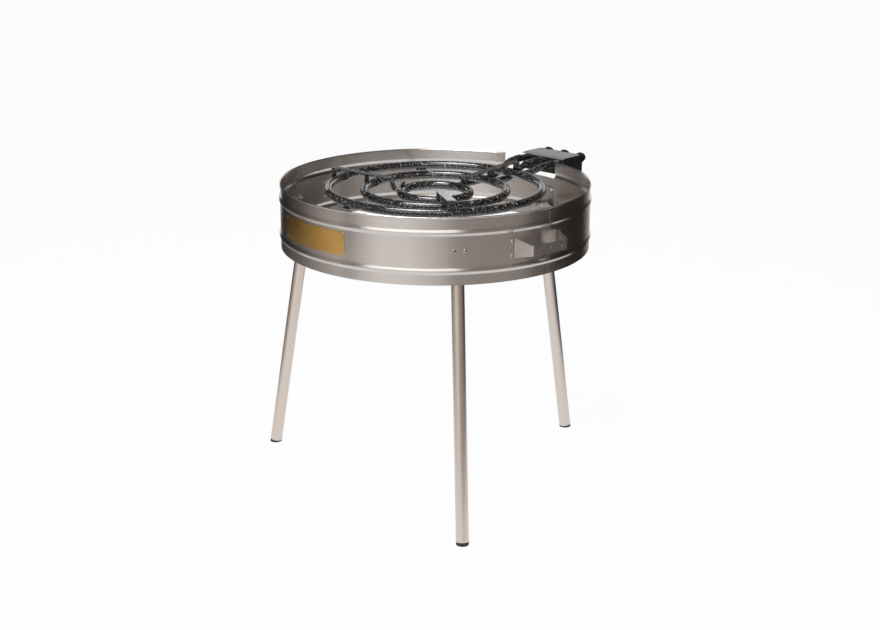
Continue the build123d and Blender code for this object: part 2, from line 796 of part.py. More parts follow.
with BuildPart() as gas_inlet:
    with BuildSketch(across_plane(manifold_left - seat_gap, manifold_along, manifold_height)):
        RegularPolygon(inlet_hex_flats / 2, 6, major_radius=False)
    extrude(amount=-inlet_hex_length)
    inlet_face = manifold_left - seat_gap - inlet_hex_length
    with BuildSketch(across_plane(inlet_face, manifold_along, manifold_height)):
        Circle(inlet_radius)
    extrude(amount=-inlet_length)
    with BuildSketch(across_plane(inlet_face, manifold_along, manifold_height)):
        Circle(manifold_bore - weld_gap)
    extrude(amount=inlet_hex_length + inlet_sink)
    with BuildSketch(across_plane(inlet_face - inlet_length, manifold_along, manifold_height)):
        Circle(inlet_bore)
    extrude(amount=inlet_length + inlet_hex_length + 2 * inlet_sink, mode=Mode.SUBTRACT)
gas_inlet.part.label = "gas_inlet"
export_step(gas_inlet.part, "parts/gas_inlet.step")

# Valves, one behind each feed tube: body, injector, plug, stem and knob
neck_end = box_far + neck_overrun
plug_near = valve_near + injector_thread + rest_gap
plug_far = valve_seat - rest_gap
stem_near = plug_far - stem_sink
knob_floor = knob_near + knob_recess_depth
knob_socket_end = knob_floor + knob_socket_depth
for name, side in feed_rings.items():
    across = side * feed_pitch
    with BuildPart() as valve_body:
        with BuildSketch(arm_plane(across, valve_near, feed_height)):
            Circle(valve_radius)
        extrude(amount=panel_inside - seat_gap - valve_near)
        with BuildSketch(arm_plane(across, valve_near, feed_height)):
            Circle(neck_radius)
        extrude(amount=neck_end - valve_near)
        with BuildSketch(arm_level(spigot_base)):
            with Locations((across, manifold_along)):
                Circle(spigot_radius)
        extrude(amount=feed_height - spigot_base)
        with BuildSketch(arm_plane(across, valve_near, feed_height)):
            Circle(valve_bore)
        extrude(amount=valve_seat - valve_near, mode=Mode.SUBTRACT)
        with BuildSketch(arm_plane(across, valve_seat, feed_height)):
            Circle(stem_radius + running_gap)
        extrude(amount=neck_end - valve_seat, mode=Mode.SUBTRACT)
        with BuildSketch(arm_level(spigot_base)):
            with Locations((across, manifold_along)):
                Circle(gas_way)
        extrude(amount=feed_height - spigot_base, mode=Mode.SUBTRACT)
    valve_body.part.label = f"valve_body_{name}"
    export_step(valve_body.part, f"parts/valve_body_{name}.step")

    with BuildPart() as injector:
        with BuildSketch(arm_plane(across, valve_near - seat_gap, feed_height)):
            RegularPolygon(injector_hex_flats / 2, 6, major_radius=False)
        extrude(amount=-injector_hex_length)
        with BuildSketch(arm_plane(across, valve_near - injector_reach, feed_height)):
            Circle(injector_radius)
        extrude(amount=injector_reach)
        with BuildSketch(arm_plane(across, valve_near - injector_hex_length, feed_height)):
            Circle(valve_bore - weld_gap)
        extrude(amount=injector_hex_length + injector_thread)
        with BuildSketch(arm_plane(across, valve_near + injector_thread, feed_height)):
            Circle(gas_way)
        extrude(amount=injector_tip - injector_reach - injector_thread, mode=Mode.SUBTRACT)
        with BuildSketch(arm_plane(across, valve_near - injector_reach, feed_height)):
            Circle(jet_radius)
        extrude(amount=injector_reach, mode=Mode.SUBTRACT)
    injector.part.label = f"injector_{name}"
    export_step(injector.part, f"parts/injector_{name}.step")

    # Plug: its gas way points up when shut and down to the manifold when open
    with BuildPart() as valve_plug:
        with BuildSketch(arm_plane(across, plug_near, feed_height)):
            Circle(valve_bore - running_gap)
        extrude(amount=plug_far - plug_near)
        with BuildSketch(arm_plane(across, plug_far, feed_height)):
            d_shape(running_gap)
        extrude(amount=-stem_sink - stem_push - rest_gap, mode=Mode.SUBTRACT)
        with BuildSketch(arm_plane(across, plug_near, feed_height)):
            Circle(gas_way)
        extrude(amount=manifold_along - plug_near, mode=Mode.SUBTRACT)
        with BuildSketch(arm_level(feed_height)):
            with Locations((across, manifold_along)):
                Circle(gas_way)
        extrude(amount=2 * valve_bore, mode=Mode.SUBTRACT)
    valve_plug.part.label = f"valve_plug_{name}"
    export_step(valve_plug.part, f"parts/valve_plug_{name}.step")

    with BuildPart() as valve_stem:
        with BuildSketch(arm_plane(across, stem_near, feed_height)):
            d_shape(0)
        extrude(amount=knob_socket_end - seat_gap - stem_near)
    valve_stem.part.label = f"valve_stem_{name}"
    export_step(valve_stem.part, f"parts/valve_stem_{name}.step")

    with BuildPart() as knob:
        with BuildSketch(arm_plane(across, knob_near, feed_height)):
            Circle(knob_skirt_radius)
        extrude(amount=knob_skirt_length)
        with BuildSketch(arm_plane(across, knob_near, feed_height)):
            Circle(knob_grip_radius)
        extrude(amount=knob_far - knob_near)
        fillet(knob.edges().filter_by(GeomType.CIRCLE), radius=knob_edge)
        with BuildSketch(arm_plane(across, knob_near, feed_height)):
            Circle(knob_recess_radius)
        extrude(amount=knob_recess_depth, mode=Mode.SUBTRACT)
        with BuildSketch(arm_plane(across, knob_floor, feed_height)):
            d_shape(weld_gap)
        extrude(amount=knob_socket_depth, mode=Mode.SUBTRACT)
        with BuildSketch(arm_plane(across, knob_far - knob_pointer_rise, feed_height)):
            Rectangle(knob_pointer_width, knob_grip_radius - knob_edge, align=(Align.CENTER, Align.MIN))
        extrude(amount=2 * knob_pointer_rise)
    knob.part.label = f"knob_{name}"
    export_step(knob.part, f"parts/knob_{name}.step")

with BuildPart() as valve_nuts:
    with BuildSketch(arm_plane(0, box_far + seat_gap, feed_height)):
        with GridLocations(feed_pitch, 0, 3, 1):
            RegularPolygon(panel_nut_flats / 2, 6, major_radius=False)
            Circle(neck_radius + weld_gap, mode=Mode.SUBTRACT)
    extrude(amount=panel_nut_thick)
valve_nuts.part.label = "valve_nuts"
export_step(valve_nuts.part, "parts/valve_nuts.step")
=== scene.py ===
"""Looks of a round steel gas burner stand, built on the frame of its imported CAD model.

Metres and degrees, +Z up. Azimuths run round the drum axis from the front (-Y) towards +X.
"""
import json
import logging
import math
from dataclasses import dataclass
from enum import Enum
from typing import Any, Callable, Iterable, Optional, Sequence, Union

import bmesh
import bpy
from bmesh.types import BMEdge, BMesh, BMFace, BMVert
from mathutils import Matrix, Vector


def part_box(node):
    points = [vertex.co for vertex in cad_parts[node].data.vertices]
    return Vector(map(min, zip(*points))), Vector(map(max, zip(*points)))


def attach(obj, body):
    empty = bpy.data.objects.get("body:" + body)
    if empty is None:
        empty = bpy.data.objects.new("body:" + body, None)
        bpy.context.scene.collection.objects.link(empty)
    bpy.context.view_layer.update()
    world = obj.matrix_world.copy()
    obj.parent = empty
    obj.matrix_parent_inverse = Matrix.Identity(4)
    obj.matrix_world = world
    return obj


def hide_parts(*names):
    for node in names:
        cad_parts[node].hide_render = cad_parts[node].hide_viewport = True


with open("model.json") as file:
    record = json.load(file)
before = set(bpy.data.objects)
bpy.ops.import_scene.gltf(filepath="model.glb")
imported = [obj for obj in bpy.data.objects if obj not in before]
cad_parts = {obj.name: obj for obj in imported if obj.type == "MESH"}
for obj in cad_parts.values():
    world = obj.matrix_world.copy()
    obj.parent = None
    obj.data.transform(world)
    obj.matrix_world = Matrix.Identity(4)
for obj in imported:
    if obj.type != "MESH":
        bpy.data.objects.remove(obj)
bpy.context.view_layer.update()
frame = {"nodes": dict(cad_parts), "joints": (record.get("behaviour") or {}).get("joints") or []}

LOG = logging.getLogger("burner_stand")
UP = Vector((0.0, 0.0, 1.0))
FULL_TURN = 2.0 * math.pi
BOTH_HANDS = (-1.0, 1.0)
STAND = "stand"
BURNER = "burner"
RINGS = ("outer", "middle", "inner")
FEED_ACROSS = (0.050, 0.0, -0.050)
FEED_HEIGHT = 0.6885
DRUM_RADIUS = 0.350
DRUM_SHEET = 0.0015
SEAM_AZIMUTH = 95.2
SEAT_GAP = 0.0001
PUSH_GAP = 0.00005
SAME_POINT = 1e-6
SAME_BEND = 1e-5
ON_PLANE = 1e-7
EDGE_STEPS = 2
CORNER_STEPS = 3
BEND_STEPS = 4
SHEET_CREASE = 60.0
FOLD_CREASE = 50.0
CAD_CREASE = 30.0
SHADE_CREASE = 25.0
CAD_FLAT = 0.5
NOISE_MIDDLE = 0.5
MIX_FACTOR, MIX_FIRST, MIX_SECOND, MIX_RESULT = 0, 6, 7, 2
WHITE = (1.0, 1.0, 1.0, 1.0)

Colour = tuple[float, float, float]
Pair = tuple[float, float]
Outline = list[Pair]


def operator(operation: str, reflected: bool = False) -> Callable[["Value", "Operand"], "Value"]:
    """Makes the method of one of Python's operators.

    Args:
        operation: the Math node's operation.
        reflected: whether the other value comes first.

    Returns:
        The method.
    """

    def method(value: "Value", other: "Operand") -> "Value":
        """Adds the Math node and returns its result."""
        first, second = (other, value) if reflected else (value, other)
        return value.maths(operation, first, second)

    return method


class Value:
    """A shader socket that Python's operators work on by adding Math nodes."""

    def __init__(self, recipe: "Recipe", socket: bpy.types.NodeSocket) -> None:
        """Keeps the socket and the recipe that it belongs to."""
        self.recipe = recipe
        self.socket = socket

    def maths(self, operation: str, first: "Operand", second: "Operand") -> "Value":
        """Adds one Math node and returns its result."""
        return self.recipe.add("ShaderNodeMath", {"operation": operation}, {0: first, 1: second})

    __add__ = operator("ADD")
    __radd__ = operator("ADD", True)
    __sub__ = operator("SUBTRACT")
    __rsub__ = operator("SUBTRACT", True)
    __mul__ = operator("MULTIPLY")
    __rmul__ = operator("MULTIPLY", True)
    __or__ = operator("MAXIMUM")
    __ror__ = operator("MAXIMUM", True)


Operand = Union[Value, int, float]


class Recipe:
    """The nodes of one material or world."""

    def __init__(self, tree: bpy.types.NodeTree) -> None:
        """Starts an empty node tree."""
        self.tree = tree
        self.tree.nodes.clear()

    def add(
        self,
        kind: str,
        settings: Optional[dict[str, Any]] = None,
        inputs: Optional[dict[Union[int, str], Any]] = None,
        output: Union[int, str] = 0,
    ) -> Value:
        """Adds any node.

        Args:
            kind: the node's type.
            settings: the node's own settings, set first; "stops" are a ramp's stops.
            inputs: values or links for its sockets, by name or number.
            output: the socket that is returned.

        Returns:
            The chosen output.
        """
        node = self.tree.nodes.new(kind)
        for key, value in (settings or {}).items():
            if key == "stops":
                self.set_stops(node.color_ramp, value)
            else:
                setattr(node, key, value)
        for key, value in (inputs or {}).items():
            if isinstance(value, Value):
                self.tree.links.new(value.socket, node.inputs[key])
            else:
                node.inputs[key].default_value = value
        return Value(self, node.outputs[output]) if len(node.outputs) else Value(self, None)

    @staticmethod
    def set_stops(ramp: bpy.types.ColorRamp, stops: Sequence[tuple[float, Colour]]) -> None:
        """Gives a colour ramp its stops.

        Args:
            ramp: the colour ramp.
            stops: each stop's position and colour.
        """
        while len(ramp.elements) > 1:
            ramp.elements.remove(ramp.elements[-1])
        ramp.elements[0].position = stops[0][0]
        ramp.elements[0].color = (*stops[0][1], 1.0)
        for position, colour in stops[1:]:
            ramp.elements.new(position).color = (*colour, 1.0)

    def point(self) -> Value:
        """Returns the point on the piece in the shared frame."""
        return self.add("ShaderNodeTexCoord", output="Object")

    def split(self, vector: Value) -> tuple[Value, Value, Value]:
        """Returns a vector's three parts."""
        node = self.add("ShaderNodeSeparateXYZ", inputs={0: vector}).socket.node
        return tuple(Value(self, socket) for socket in node.outputs)

    def join(self, x: Operand, y: Operand, z: Operand) -> Value:
        """Returns the vector of three values."""
        return self.add("ShaderNodeCombineXYZ", inputs={0: x, 1: y, 2: z})

    def noise(self, vector: Value, scale: float, detail: float = 2.0, rough: float = 0.5) -> Value:
        """Returns plain noise from 0 to 1, with so many grains to the unit."""
        inputs = {"Vector": vector, "Scale": scale, "Detail": detail, "Roughness": rough}
        return self.add("ShaderNodeTexNoise", {"noise_dimensions": "3D"}, inputs)

    def stretch(
        self, value: Value, low: float, high: float, to_low: float = 0.0, to_high: float = 1.0
    ) -> Value:
        """Returns a value mapped from one span to another and held at its ends."""
        inputs = {0: value, 1: low, 2: high, 3: to_low, 4: to_high}
        return self.add("ShaderNodeMapRange", {"clamp": True}, inputs)

    def mix(self, factor: Operand, first: Union[Value, Colour], second: Union[Value, Colour]) -> Value:
        """Mixes two colours.

        Args:
            factor: 0 gives the first, 1 the second.
            first: a colour or its socket.
            second: a colour or its socket.

        Returns:
            The mixed colour.
        """
        ends = [end if isinstance(end, Value) else (*end, 1.0) for end in (first, second)]
        inputs = {MIX_FACTOR: factor, MIX_FIRST: ends[0], MIX_SECOND: ends[1]}
        return self.add("ShaderNodeMix", {"data_type": "RGBA"}, inputs, MIX_RESULT)

    def bump(self, height: Value, strength: float, distance: float) -> Value:
        """Returns a normal that follows a height; the distance is what 1 stands for, in metres."""
        inputs = {"Strength": strength, "Distance": distance, "Height": height}
        return self.add("ShaderNodeBump", None, inputs)

    @staticmethod
    def varied(base: Operand, *parts: tuple[Value, float]) -> Operand:
        """Raises and lowers a value by noises.

        Args:
            base: the value.
            parts: each noise and its share.

        Returns:
            The varied value.
        """
        for noise, share in parts:
            base = base + (noise - NOISE_MIDDLE) * share
        return base

    def end_in(self, shader: Value) -> None:
        """Ends a material's recipe in a shader."""
        self.add("ShaderNodeOutputMaterial", None, {"Surface": shader})

    def surface(self, **sockets: Any) -> None:
        """Ends the recipe in a Principled shader; a socket's name is written with underscores."""
        named = {key.replace("_", " "): value for key, value in sockets.items()}
        self.end_in(self.add("ShaderNodeBsdfPrincipled", None, named))


def new_material(name: str) -> tuple[bpy.types.Material, Recipe]:
    """Makes a material.

    Args:
        name: its name.

    Returns:
        The material and its empty recipe.
    """
    made = bpy.data.materials.new(name)
    made.use_nodes = True
    return made, Recipe(made.node_tree)


@dataclass(frozen=True)
class Finish:
    """A surface finish: the name of its material and the record's slot."""

    name: str
    slot: str

    def material(self) -> bpy.types.Material:
        """Makes the finish's material, once only.

        Returns:
            The material.
        """
        made = bpy.data.materials.get(self.name)
        if made is None:
            made, recipe = new_material(self.name)
            self.fill(recipe)
        return made

    def fill(self, recipe: Recipe) -> None:
        """Adds the finish's nodes."""
        raise NotImplementedError


class Grain(Enum):
    """Which way a ground or brushed sheet was worked."""

    ROUND_THE_DRUM = "round"
    LEVEL = "level"
    DOWN_THE_TUBE = "down"


@dataclass(frozen=True)
class BrushedSteel(Finish):
    """Brushed stainless steel; its grains are so many to the metre along and across."""

    grain: Grain = Grain.LEVEL
    axis: Pair = (0.0, 0.0)
    dark: Colour = (0.575, 0.545, 0.520)
    light: Colour = (0.675, 0.640, 0.615)
    roughness: float = 0.26
    spread: float = 0.85
    turn: float = 0.25
    depth: float = 0.000006
    relief: float = 0.22
    fine_grain: Pair = (9.0, 1500.0)
    streak_grain: Pair = (3.0, 190.0)
    cloud_grain: float = 7.0

    def grain_point(self, recipe: Recipe) -> Value:
        """Turns the point to the grain.

        Args:
            recipe: the nodes to add to.

        Returns:
            The point, with the direction of the grain as its first part.
        """
        point = recipe.point()
        if self.grain is Grain.ROUND_THE_DRUM:
            turn = math.radians(90.0 - SEAM_AZIMUTH)
            centre = Matrix.Rotation(turn, 3, "Z") @ Vector((*self.axis, 0.0))
            settings = {"Location": -centre, "Rotation": (0.0, 0.0, turn)}
            point = recipe.add("ShaderNodeMapping", None, {"Vector": point, **settings})
            x, y, z = recipe.split(point)
            return recipe.join(x.maths("ARCTAN2", y, x) * DRUM_RADIUS, z, 0.0)
        x, y, z = recipe.split(point)
        if self.grain is Grain.LEVEL:
            return recipe.join(x + y, z, x - y)
        return recipe.join(z, x, y)

    def fill(self, recipe: Recipe) -> None:
        """Adds the finish's nodes.

        Args:
            recipe: the nodes to add to.
        """
        along, across, deep = recipe.split(self.grain_point(recipe))

        def drawn(grain: Pair) -> Value:
            """Returns the point at the pitch of a grain."""
            return recipe.join(along * grain[0], across * grain[1], deep * grain[1])

        fine = recipe.noise(drawn(self.fine_grain), 1.0, 3.0, 0.6)
        streak = recipe.noise(drawn(self.streak_grain), 1.0)
        cloud = recipe.noise(recipe.point(), self.cloud_grain, 3.0)
        tone = recipe.stretch(fine * 0.65 + streak * 0.1 + cloud * 0.25, 0.25, 0.75)
        recipe.surface(
            Base_Color=recipe.mix(tone, self.dark, self.light),
            Roughness=recipe.varied(self.roughness, (fine, 0.06), (streak, 0.02), (cloud, 0.05)),
            Metallic=1.0,
            Anisotropic=self.spread,
            Anisotropic_Rotation=self.turn,
            Normal=recipe.bump(fine, self.relief, self.depth),
        )


@dataclass(frozen=True)
class GoldPlate(Finish):
    """Satin gold-coloured plate with a fine level grain."""

    dark: Colour = (0.72, 0.44, 0.11)
    light: Colour = (0.95, 0.62, 0.21)
    roughness: float = 0.30
    spread: float = 0.75
    turn: float = 0.25
    depth: float = 0.00001
    relief: float = 0.3
    grain: Pair = (30.0, 1600.0)
    cloud_grain: float = 16.0

    def fill(self, recipe: Recipe) -> None:
        """Adds the finish's nodes.

        Args:
            recipe: the nodes to add to.
        """
        x, y, z = recipe.split(recipe.point())
        fine = recipe.noise(recipe.join((x + y) * self.grain[0], z * self.grain[1], 0.0), 1.0, 3.0, 0.6)
        cloud = recipe.noise(recipe.point(), self.cloud_grain, 3.0)
        tone = recipe.stretch(fine * 0.4 + cloud * 0.6, 0.3, 0.7)
        recipe.surface(
            Base_Color=recipe.mix(tone, self.dark, self.light),
            Roughness=recipe.varied(self.roughness, (fine, 0.16), (cloud, 0.12)),
            Metallic=1.0,
            Anisotropic=self.spread,
            Anisotropic_Rotation=self.turn,
            Normal=recipe.bump(fine, self.relief, self.depth),
        )


@dataclass(frozen=True)
class SpeckledEnamel(Finish):
    """Gloss black enamel with specks of two sizes, each a pitch and the share of it that they fill."""

    worn: float = 0.0
    black: Colour = (0.006, 0.006, 0.007)
    white: Colour = (0.58, 0.59, 0.60)
    bare: Colour = (0.07, 0.069, 0.068)
    coarse: Pair = (0.0038, 0.40)
    fine: Pair = (0.0024, 0.40)
    gloss: float = 1.0
    depth: float = 0.0004
    relief: float = 0.03
    fade_grain: float = 60.0
    rough_grain: float = 90.0
    ripple_grain: float = 45.0
    rub_grain: float = 160.0

    def specks(self, recipe: Recipe, pitch: float, share: float) -> Value:
        """Adds one size of speck.

        Args:
            recipe: the nodes to add to.
            pitch: how far the specks stand apart, in metres.
            share: how much of the pitch the largest ones fill.

        Returns:
            1 on a speck, else 0.
        """
        wander = recipe.noise(recipe.point(), 0.6 / pitch)
        settings = {"voronoi_dimensions": "3D", "feature": "F1"}
        inputs = {"Vector": recipe.point(), "Scale": 1.0 / pitch}
        near = recipe.add("ShaderNodeTexVoronoi", settings, inputs).socket.node.outputs
        size, _, _ = recipe.split(Value(recipe, near["Color"]))
        reach = size * share * recipe.stretch(wander, 0.25, 0.75, 0.5, 1.3)
        return recipe.stretch(reach - Value(recipe, near["Distance"]), 0.0, 0.06)

    def fill(self, recipe: Recipe) -> None:
        """Adds the finish's nodes.

        Args:
            recipe: the nodes to add to.
        """
        spots = self.specks(recipe, *self.coarse) | self.specks(recipe, *self.fine)
        fade = recipe.stretch(recipe.noise(recipe.point(), self.fade_grain), 0.3, 0.7, 0.35, 1.0)
        colour = recipe.mix(spots * fade, self.black, self.white)
        rough = 0.05 + recipe.noise(recipe.point(), self.rough_grain, 3.0) * 0.05
        ripple = recipe.noise(recipe.point(), self.ripple_grain) + spots * 0.01
        if self.worn:
            normal = recipe.add("ShaderNodeNewGeometry", output="Normal")
            facing = recipe.stretch(recipe.split(normal)[2], 0.75, 0.95)
            patch = recipe.noise(recipe.point(), self.rub_grain, 5.0, 0.65)
            rub = facing * recipe.stretch(patch, 0.30, 0.62, 0.35, 1.0) * self.worn
            colour = recipe.mix(rub, colour, self.bare)
            rough = rough + rub * 0.25
        recipe.surface(
            Base_Color=colour,
            Roughness=rough,
            Specular_IOR_Level=self.gloss,
            Normal=recipe.bump(ripple, self.relief, self.depth),
        )


@dataclass(frozen=True)
class Coated(Finish):
    """A coated, moulded or plain surface with a fine texture and light wear."""

    colour: Colour = (0.02, 0.02, 0.02)
    worn: Colour = (0.06, 0.06, 0.06)
    roughness: float = 0.45
    metallic: float = 0.0
    grain: float = 900.0
    cloud: float = 30.0
    depth: float = 0.00003
    relief: float = 0.4

    def fill(self, recipe: Recipe) -> None:
        """Adds the finish's nodes.

        Args:
            recipe: the nodes to add to.
        """
        fine = recipe.noise(recipe.point(), self.grain, 3.0, 0.6)
        cloud = recipe.noise(recipe.point(), self.cloud, 4.0, 0.6)
        tone = recipe.stretch(cloud * 0.7 + fine * 0.3, 0.42, 0.72)
        recipe.surface(
            Base_Color=recipe.mix(tone, self.colour, self.worn),
            Roughness=recipe.varied(self.roughness, (fine, 0.14), (cloud, 0.16)),
            Metallic=self.metallic,
            Normal=recipe.bump(fine, self.relief, self.depth),
        )


@dataclass(frozen=True)
class GalvanisedSheet(Finish):
    """Grey galvanised sheet with a spangle and scratches from use."""

    dark: Colour = (0.38, 0.375, 0.37)
    light: Colour = (0.58, 0.575, 0.57)
    scratch: Colour = (0.70, 0.70, 0.70)
    roughness: float = 0.42
    metallic: float = 0.85
    depth: float = 0.0002
    relief: float = 0.2
    spangle_grain: float = 260.0
    cloud_grain: float = 40.0
    patch_grain: float = 25.0
    scratch_grain: Pair = (40.0, 900.0)
    scratch_slant: float = 0.4

    def fill(self, recipe: Recipe) -> None:
        """Adds the finish's nodes.

        Args:
            recipe: the nodes to add to.
        """
        point = recipe.point()
        inputs = {"Vector": point, "Scale": self.spangle_grain}
        spangle = recipe.split(recipe.add("ShaderNodeTexVoronoi", {"feature": "F1"}, inputs, "Color"))[0]
        cloud = recipe.noise(point, self.cloud_grain, 4.0, 0.6)
        x, y, z = recipe.split(point)
        long, short = self.scratch_grain
        along, across = x + y * self.scratch_slant, y - x * self.scratch_slant
        lines = recipe.noise(recipe.join(along * long, across * short, z * long), 1.0)
        patch = recipe.stretch(recipe.noise(point, self.patch_grain), 0.45, 0.6)
        marks = recipe.stretch(lines, 0.66, 0.74) * patch
        tone = recipe.stretch(spangle * 0.35 + cloud * 0.65, 0.25, 0.75)
        recipe.surface(
            Base_Color=recipe.mix(marks, recipe.mix(tone, self.dark, self.light), self.scratch),
            Roughness=recipe.varied(self.roughness, (spangle, 0.12), (cloud, 0.2)) - marks * 0.1,
            Metallic=self.metallic,
            Normal=recipe.bump(cloud + marks * 0.3, self.relief, self.depth),
        )


def joint(name: str) -> dict[str, Any]:
    """Returns a joint of the frame by its name."""
    return next(row for row in frame["joints"] if row["name"] == name)


def placed(origin: Vector, x_axis: Vector, y_axis: Vector, z_axis: Vector) -> Matrix:
    """Makes the matrix of a place.

    Args:
        origin: where it is.
        x_axis: its x direction.
        y_axis: its y direction.
        z_axis: its z direction.

    Returns:
        The matrix.
    """
    matrix = Matrix((x_axis, y_axis, z_axis)).transposed().to_4x4()
    matrix.translation = origin
    return matrix


@dataclass(frozen=True)
class Site:
    """The drum axis and the burner arm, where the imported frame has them."""

    axis: Vector
    along: Vector
    across: Vector

    @classmethod
    def from_frame(cls) -> "Site":
        """Finds the site: the middle tap turns on a line that crosses the drum axis.

        Returns:
            The site.
        """
        tap = joint("tap_middle_turn")
        along = Vector(tap["axis"]).normalized()
        axis = Vector(tap["pos_m"]) - along * (tap["pos_m"][0] / along.x)
        return cls(Vector((axis.x, axis.y, 0.0)), along, along.cross(UP))

    @staticmethod
    def bearing(azimuth: float) -> Vector:
        """Returns the unit vector that points outwards at an azimuth."""
        turn = math.radians(azimuth)
        return Vector((math.sin(turn), -math.cos(turn), 0.0))

    def point(self, azimuth: float, radius: float, height: float) -> Vector:
        """Returns the point at an azimuth, a radius and a height."""
        return self.axis + self.bearing(azimuth) * radius + UP * height

    def outward(self, azimuth: float, radius: float, height: float) -> Matrix:
        """Returns a place on the drum: x to the right seen from outside, y up, z outwards."""
        out = self.bearing(azimuth)
        return placed(self.point(azimuth, radius, height), UP.cross(out), UP, out)

    def arm_point(self, across: float, along: float, height: float) -> Vector:
        """Returns a point by its place across the arm, along it and by height."""
        return self.axis + self.across * across + self.along * along + UP * height

    def arm_facing(self, across: float, along: float, height: float) -> Matrix:
        """Returns a place on the arm: y up and z outwards along it."""
        return placed(self.arm_point(across, along, height), -self.across, UP, self.along)


def only(items: Iterable[Any], kind: type) -> list[Any]:
    """Returns the items of one kind, in order."""
    return [item for item in items if isinstance(item, kind)]


def chain(mesh: BMesh, points: Iterable[Vector], closed: bool = False) -> list[BMEdge]:
    """Adds a line of vertices and edges.

    Args:
        mesh: the mesh to add to.
        points: the corners of the line.
        closed: whether the last corner joins the first.

    Returns:
        The edges.
    """
    corners = [mesh.verts.new(point) for point in points]
    pairs = list(zip(corners, corners[1:]))
    if closed:
        pairs.append((corners[-1], corners[0]))
    return [mesh.edges.new(pair) for pair in pairs]


def ends_of(edges: Iterable[BMEdge]) -> list[BMVert]:
    """Returns the vertices of some edges, each once, in order."""
    return list(dict.fromkeys(vertex for edge in edges for vertex in edge.verts))


def edges_at(corners: Iterable[BMVert]) -> list[BMEdge]:
    """Returns the edges that meet at some vertices, each once, in order."""
    return list(dict.fromkeys(edge for vertex in corners for edge in vertex.link_edges))


def merge_points(mesh: BMesh, distance: float = SAME_POINT) -> None:
    """Joins the vertices of a mesh that lie in one place."""
    bmesh.ops.remove_doubles(mesh, verts=mesh.verts[:], dist=distance)


def even_out(mesh: BMesh) -> None:
    """Makes all the faces of a mesh look to one side, outwards if it is closed."""
    bmesh.ops.recalc_face_normals(mesh, faces=mesh.faces[:])


def turn_over(mesh: BMesh) -> None:
    """Makes all the faces of a mesh look to their other side."""
    bmesh.ops.reverse_faces(mesh, faces=mesh.faces[:])


def cut(
    mesh: BMesh, geom: Sequence[Any], point: Sequence[float], normal: Sequence[float], clear: bool = False
) -> None:
    """Cuts a part of a mesh along a plane, and clears what lies behind it if asked."""
    bmesh.ops.bisect_plane(
        mesh, geom=geom, dist=ON_PLANE, plane_co=point, plane_no=normal, clear_inner=clear
    )


def rounded(mesh: BMesh, geom: Sequence[Any], width: float, steps: int, affect: str = "EDGES") -> None:
    """Rounds edges or vertices; the width is how far from them the rounding starts."""
    bmesh.ops.bevel(
        mesh, geom=geom, offset=width, offset_type="OFFSET", segments=steps, profile=0.5,
        affect=affect, clamp_overlap=True, material=-1,
    )


def drawn_out(mesh: BMesh, edges: Sequence[BMEdge], way: Vector) -> list[BMEdge]:
    """Draws edges out along a vector.

    Args:
        mesh: the mesh to add to.
        edges: the edges.
        way: how far they go.

    Returns:
        The new edges.
    """
    grown = bmesh.ops.extrude_edge_only(mesh, edges=edges)["geom"]
    bmesh.ops.translate(mesh, verts=only(grown, BMVert), vec=way)
    return only(grown, BMEdge)


def spun(
    mesh: BMesh, edges: list[BMEdge], centre: Vector, axis: Vector, angle: float, steps: int,
    whole: bool = False,
) -> list[BMEdge]:
    """Spins edges round an axis.

    Args:
        mesh: the mesh to add to.
        edges: the edges.
        centre: a point on the axis.
        axis: its direction.
        angle: how far they turn, in radians.
        steps: how many pieces the turn has.
        whole: whether the end joins the start.

    Returns:
        The edges at the end of the turn.
    """
    geom = ends_of(edges) + edges
    made = bmesh.ops.spin(mesh, geom=geom, cent=centre, axis=axis, angle=angle, steps=steps, use_merge=whole)
    return only(made["geom_last"], BMEdge)


def arc(centre: Pair, radius: float, start: float, end: float, steps: int) -> Outline:
    """Returns the points of an arc between two angles in degrees, both ends included."""
    turns = [math.radians(start + (end - start) * step / steps) for step in range(steps + 1)]
    return [(centre[0] + radius * math.cos(turn), centre[1] + radius * math.sin(turn)) for turn in turns]


def turned(mesh: BMesh, outline: Outline, place: Matrix, steps: int = 40, closed: bool = False) -> None:
    """Spins an outline of radius and height round the z axis of a place.

    Args:
        mesh: the mesh to add to.
        outline: radius and height pairs.
        place: where the axis stands.
        steps: how many pieces the turn has.
        closed: whether the outline's end joins its start.
    """
    edges = chain(mesh, [place @ Vector((radius, 0.0, height)) for radius, height in outline], closed)
    spun(mesh, edges, place.translation, place.to_3x3() @ UP, FULL_TURN, steps, True)
    merge_points(mesh)
    even_out(mesh)


def soften(mesh: BMesh, width: float, crease: float) -> None:
    """Rounds the sharp edges of a closed mesh.

    Args:
        mesh: the mesh to change.
        width: how far from the edge the rounding starts.
        crease: the angle from which an edge is sharp, in degrees.
    """
    limit = math.radians(crease)
    sharp = [edge for edge in mesh.edges if edge.is_manifold and edge.calc_face_angle(0.0) > limit]
    rounded(mesh, sharp, width, EDGE_STEPS)


def hollow_out(mesh: BMesh, outwards: Vector, sheet: float) -> None:
    """Gives an open sheet its thickness, on the far side of its face.

    Args:
        mesh: the open sheet.
        outwards: the direction that the face most square to it has to look to.
        sheet: the thickness.
    """
    even_out(mesh)
    mesh.normal_update()
    if max((face.normal.dot(outwards) for face in mesh.faces), key=abs) < 0.0:
        turn_over(mesh)
    bmesh.ops.solidify(mesh, geom=mesh.faces[:], thickness=sheet)
    mesh.normal_update()


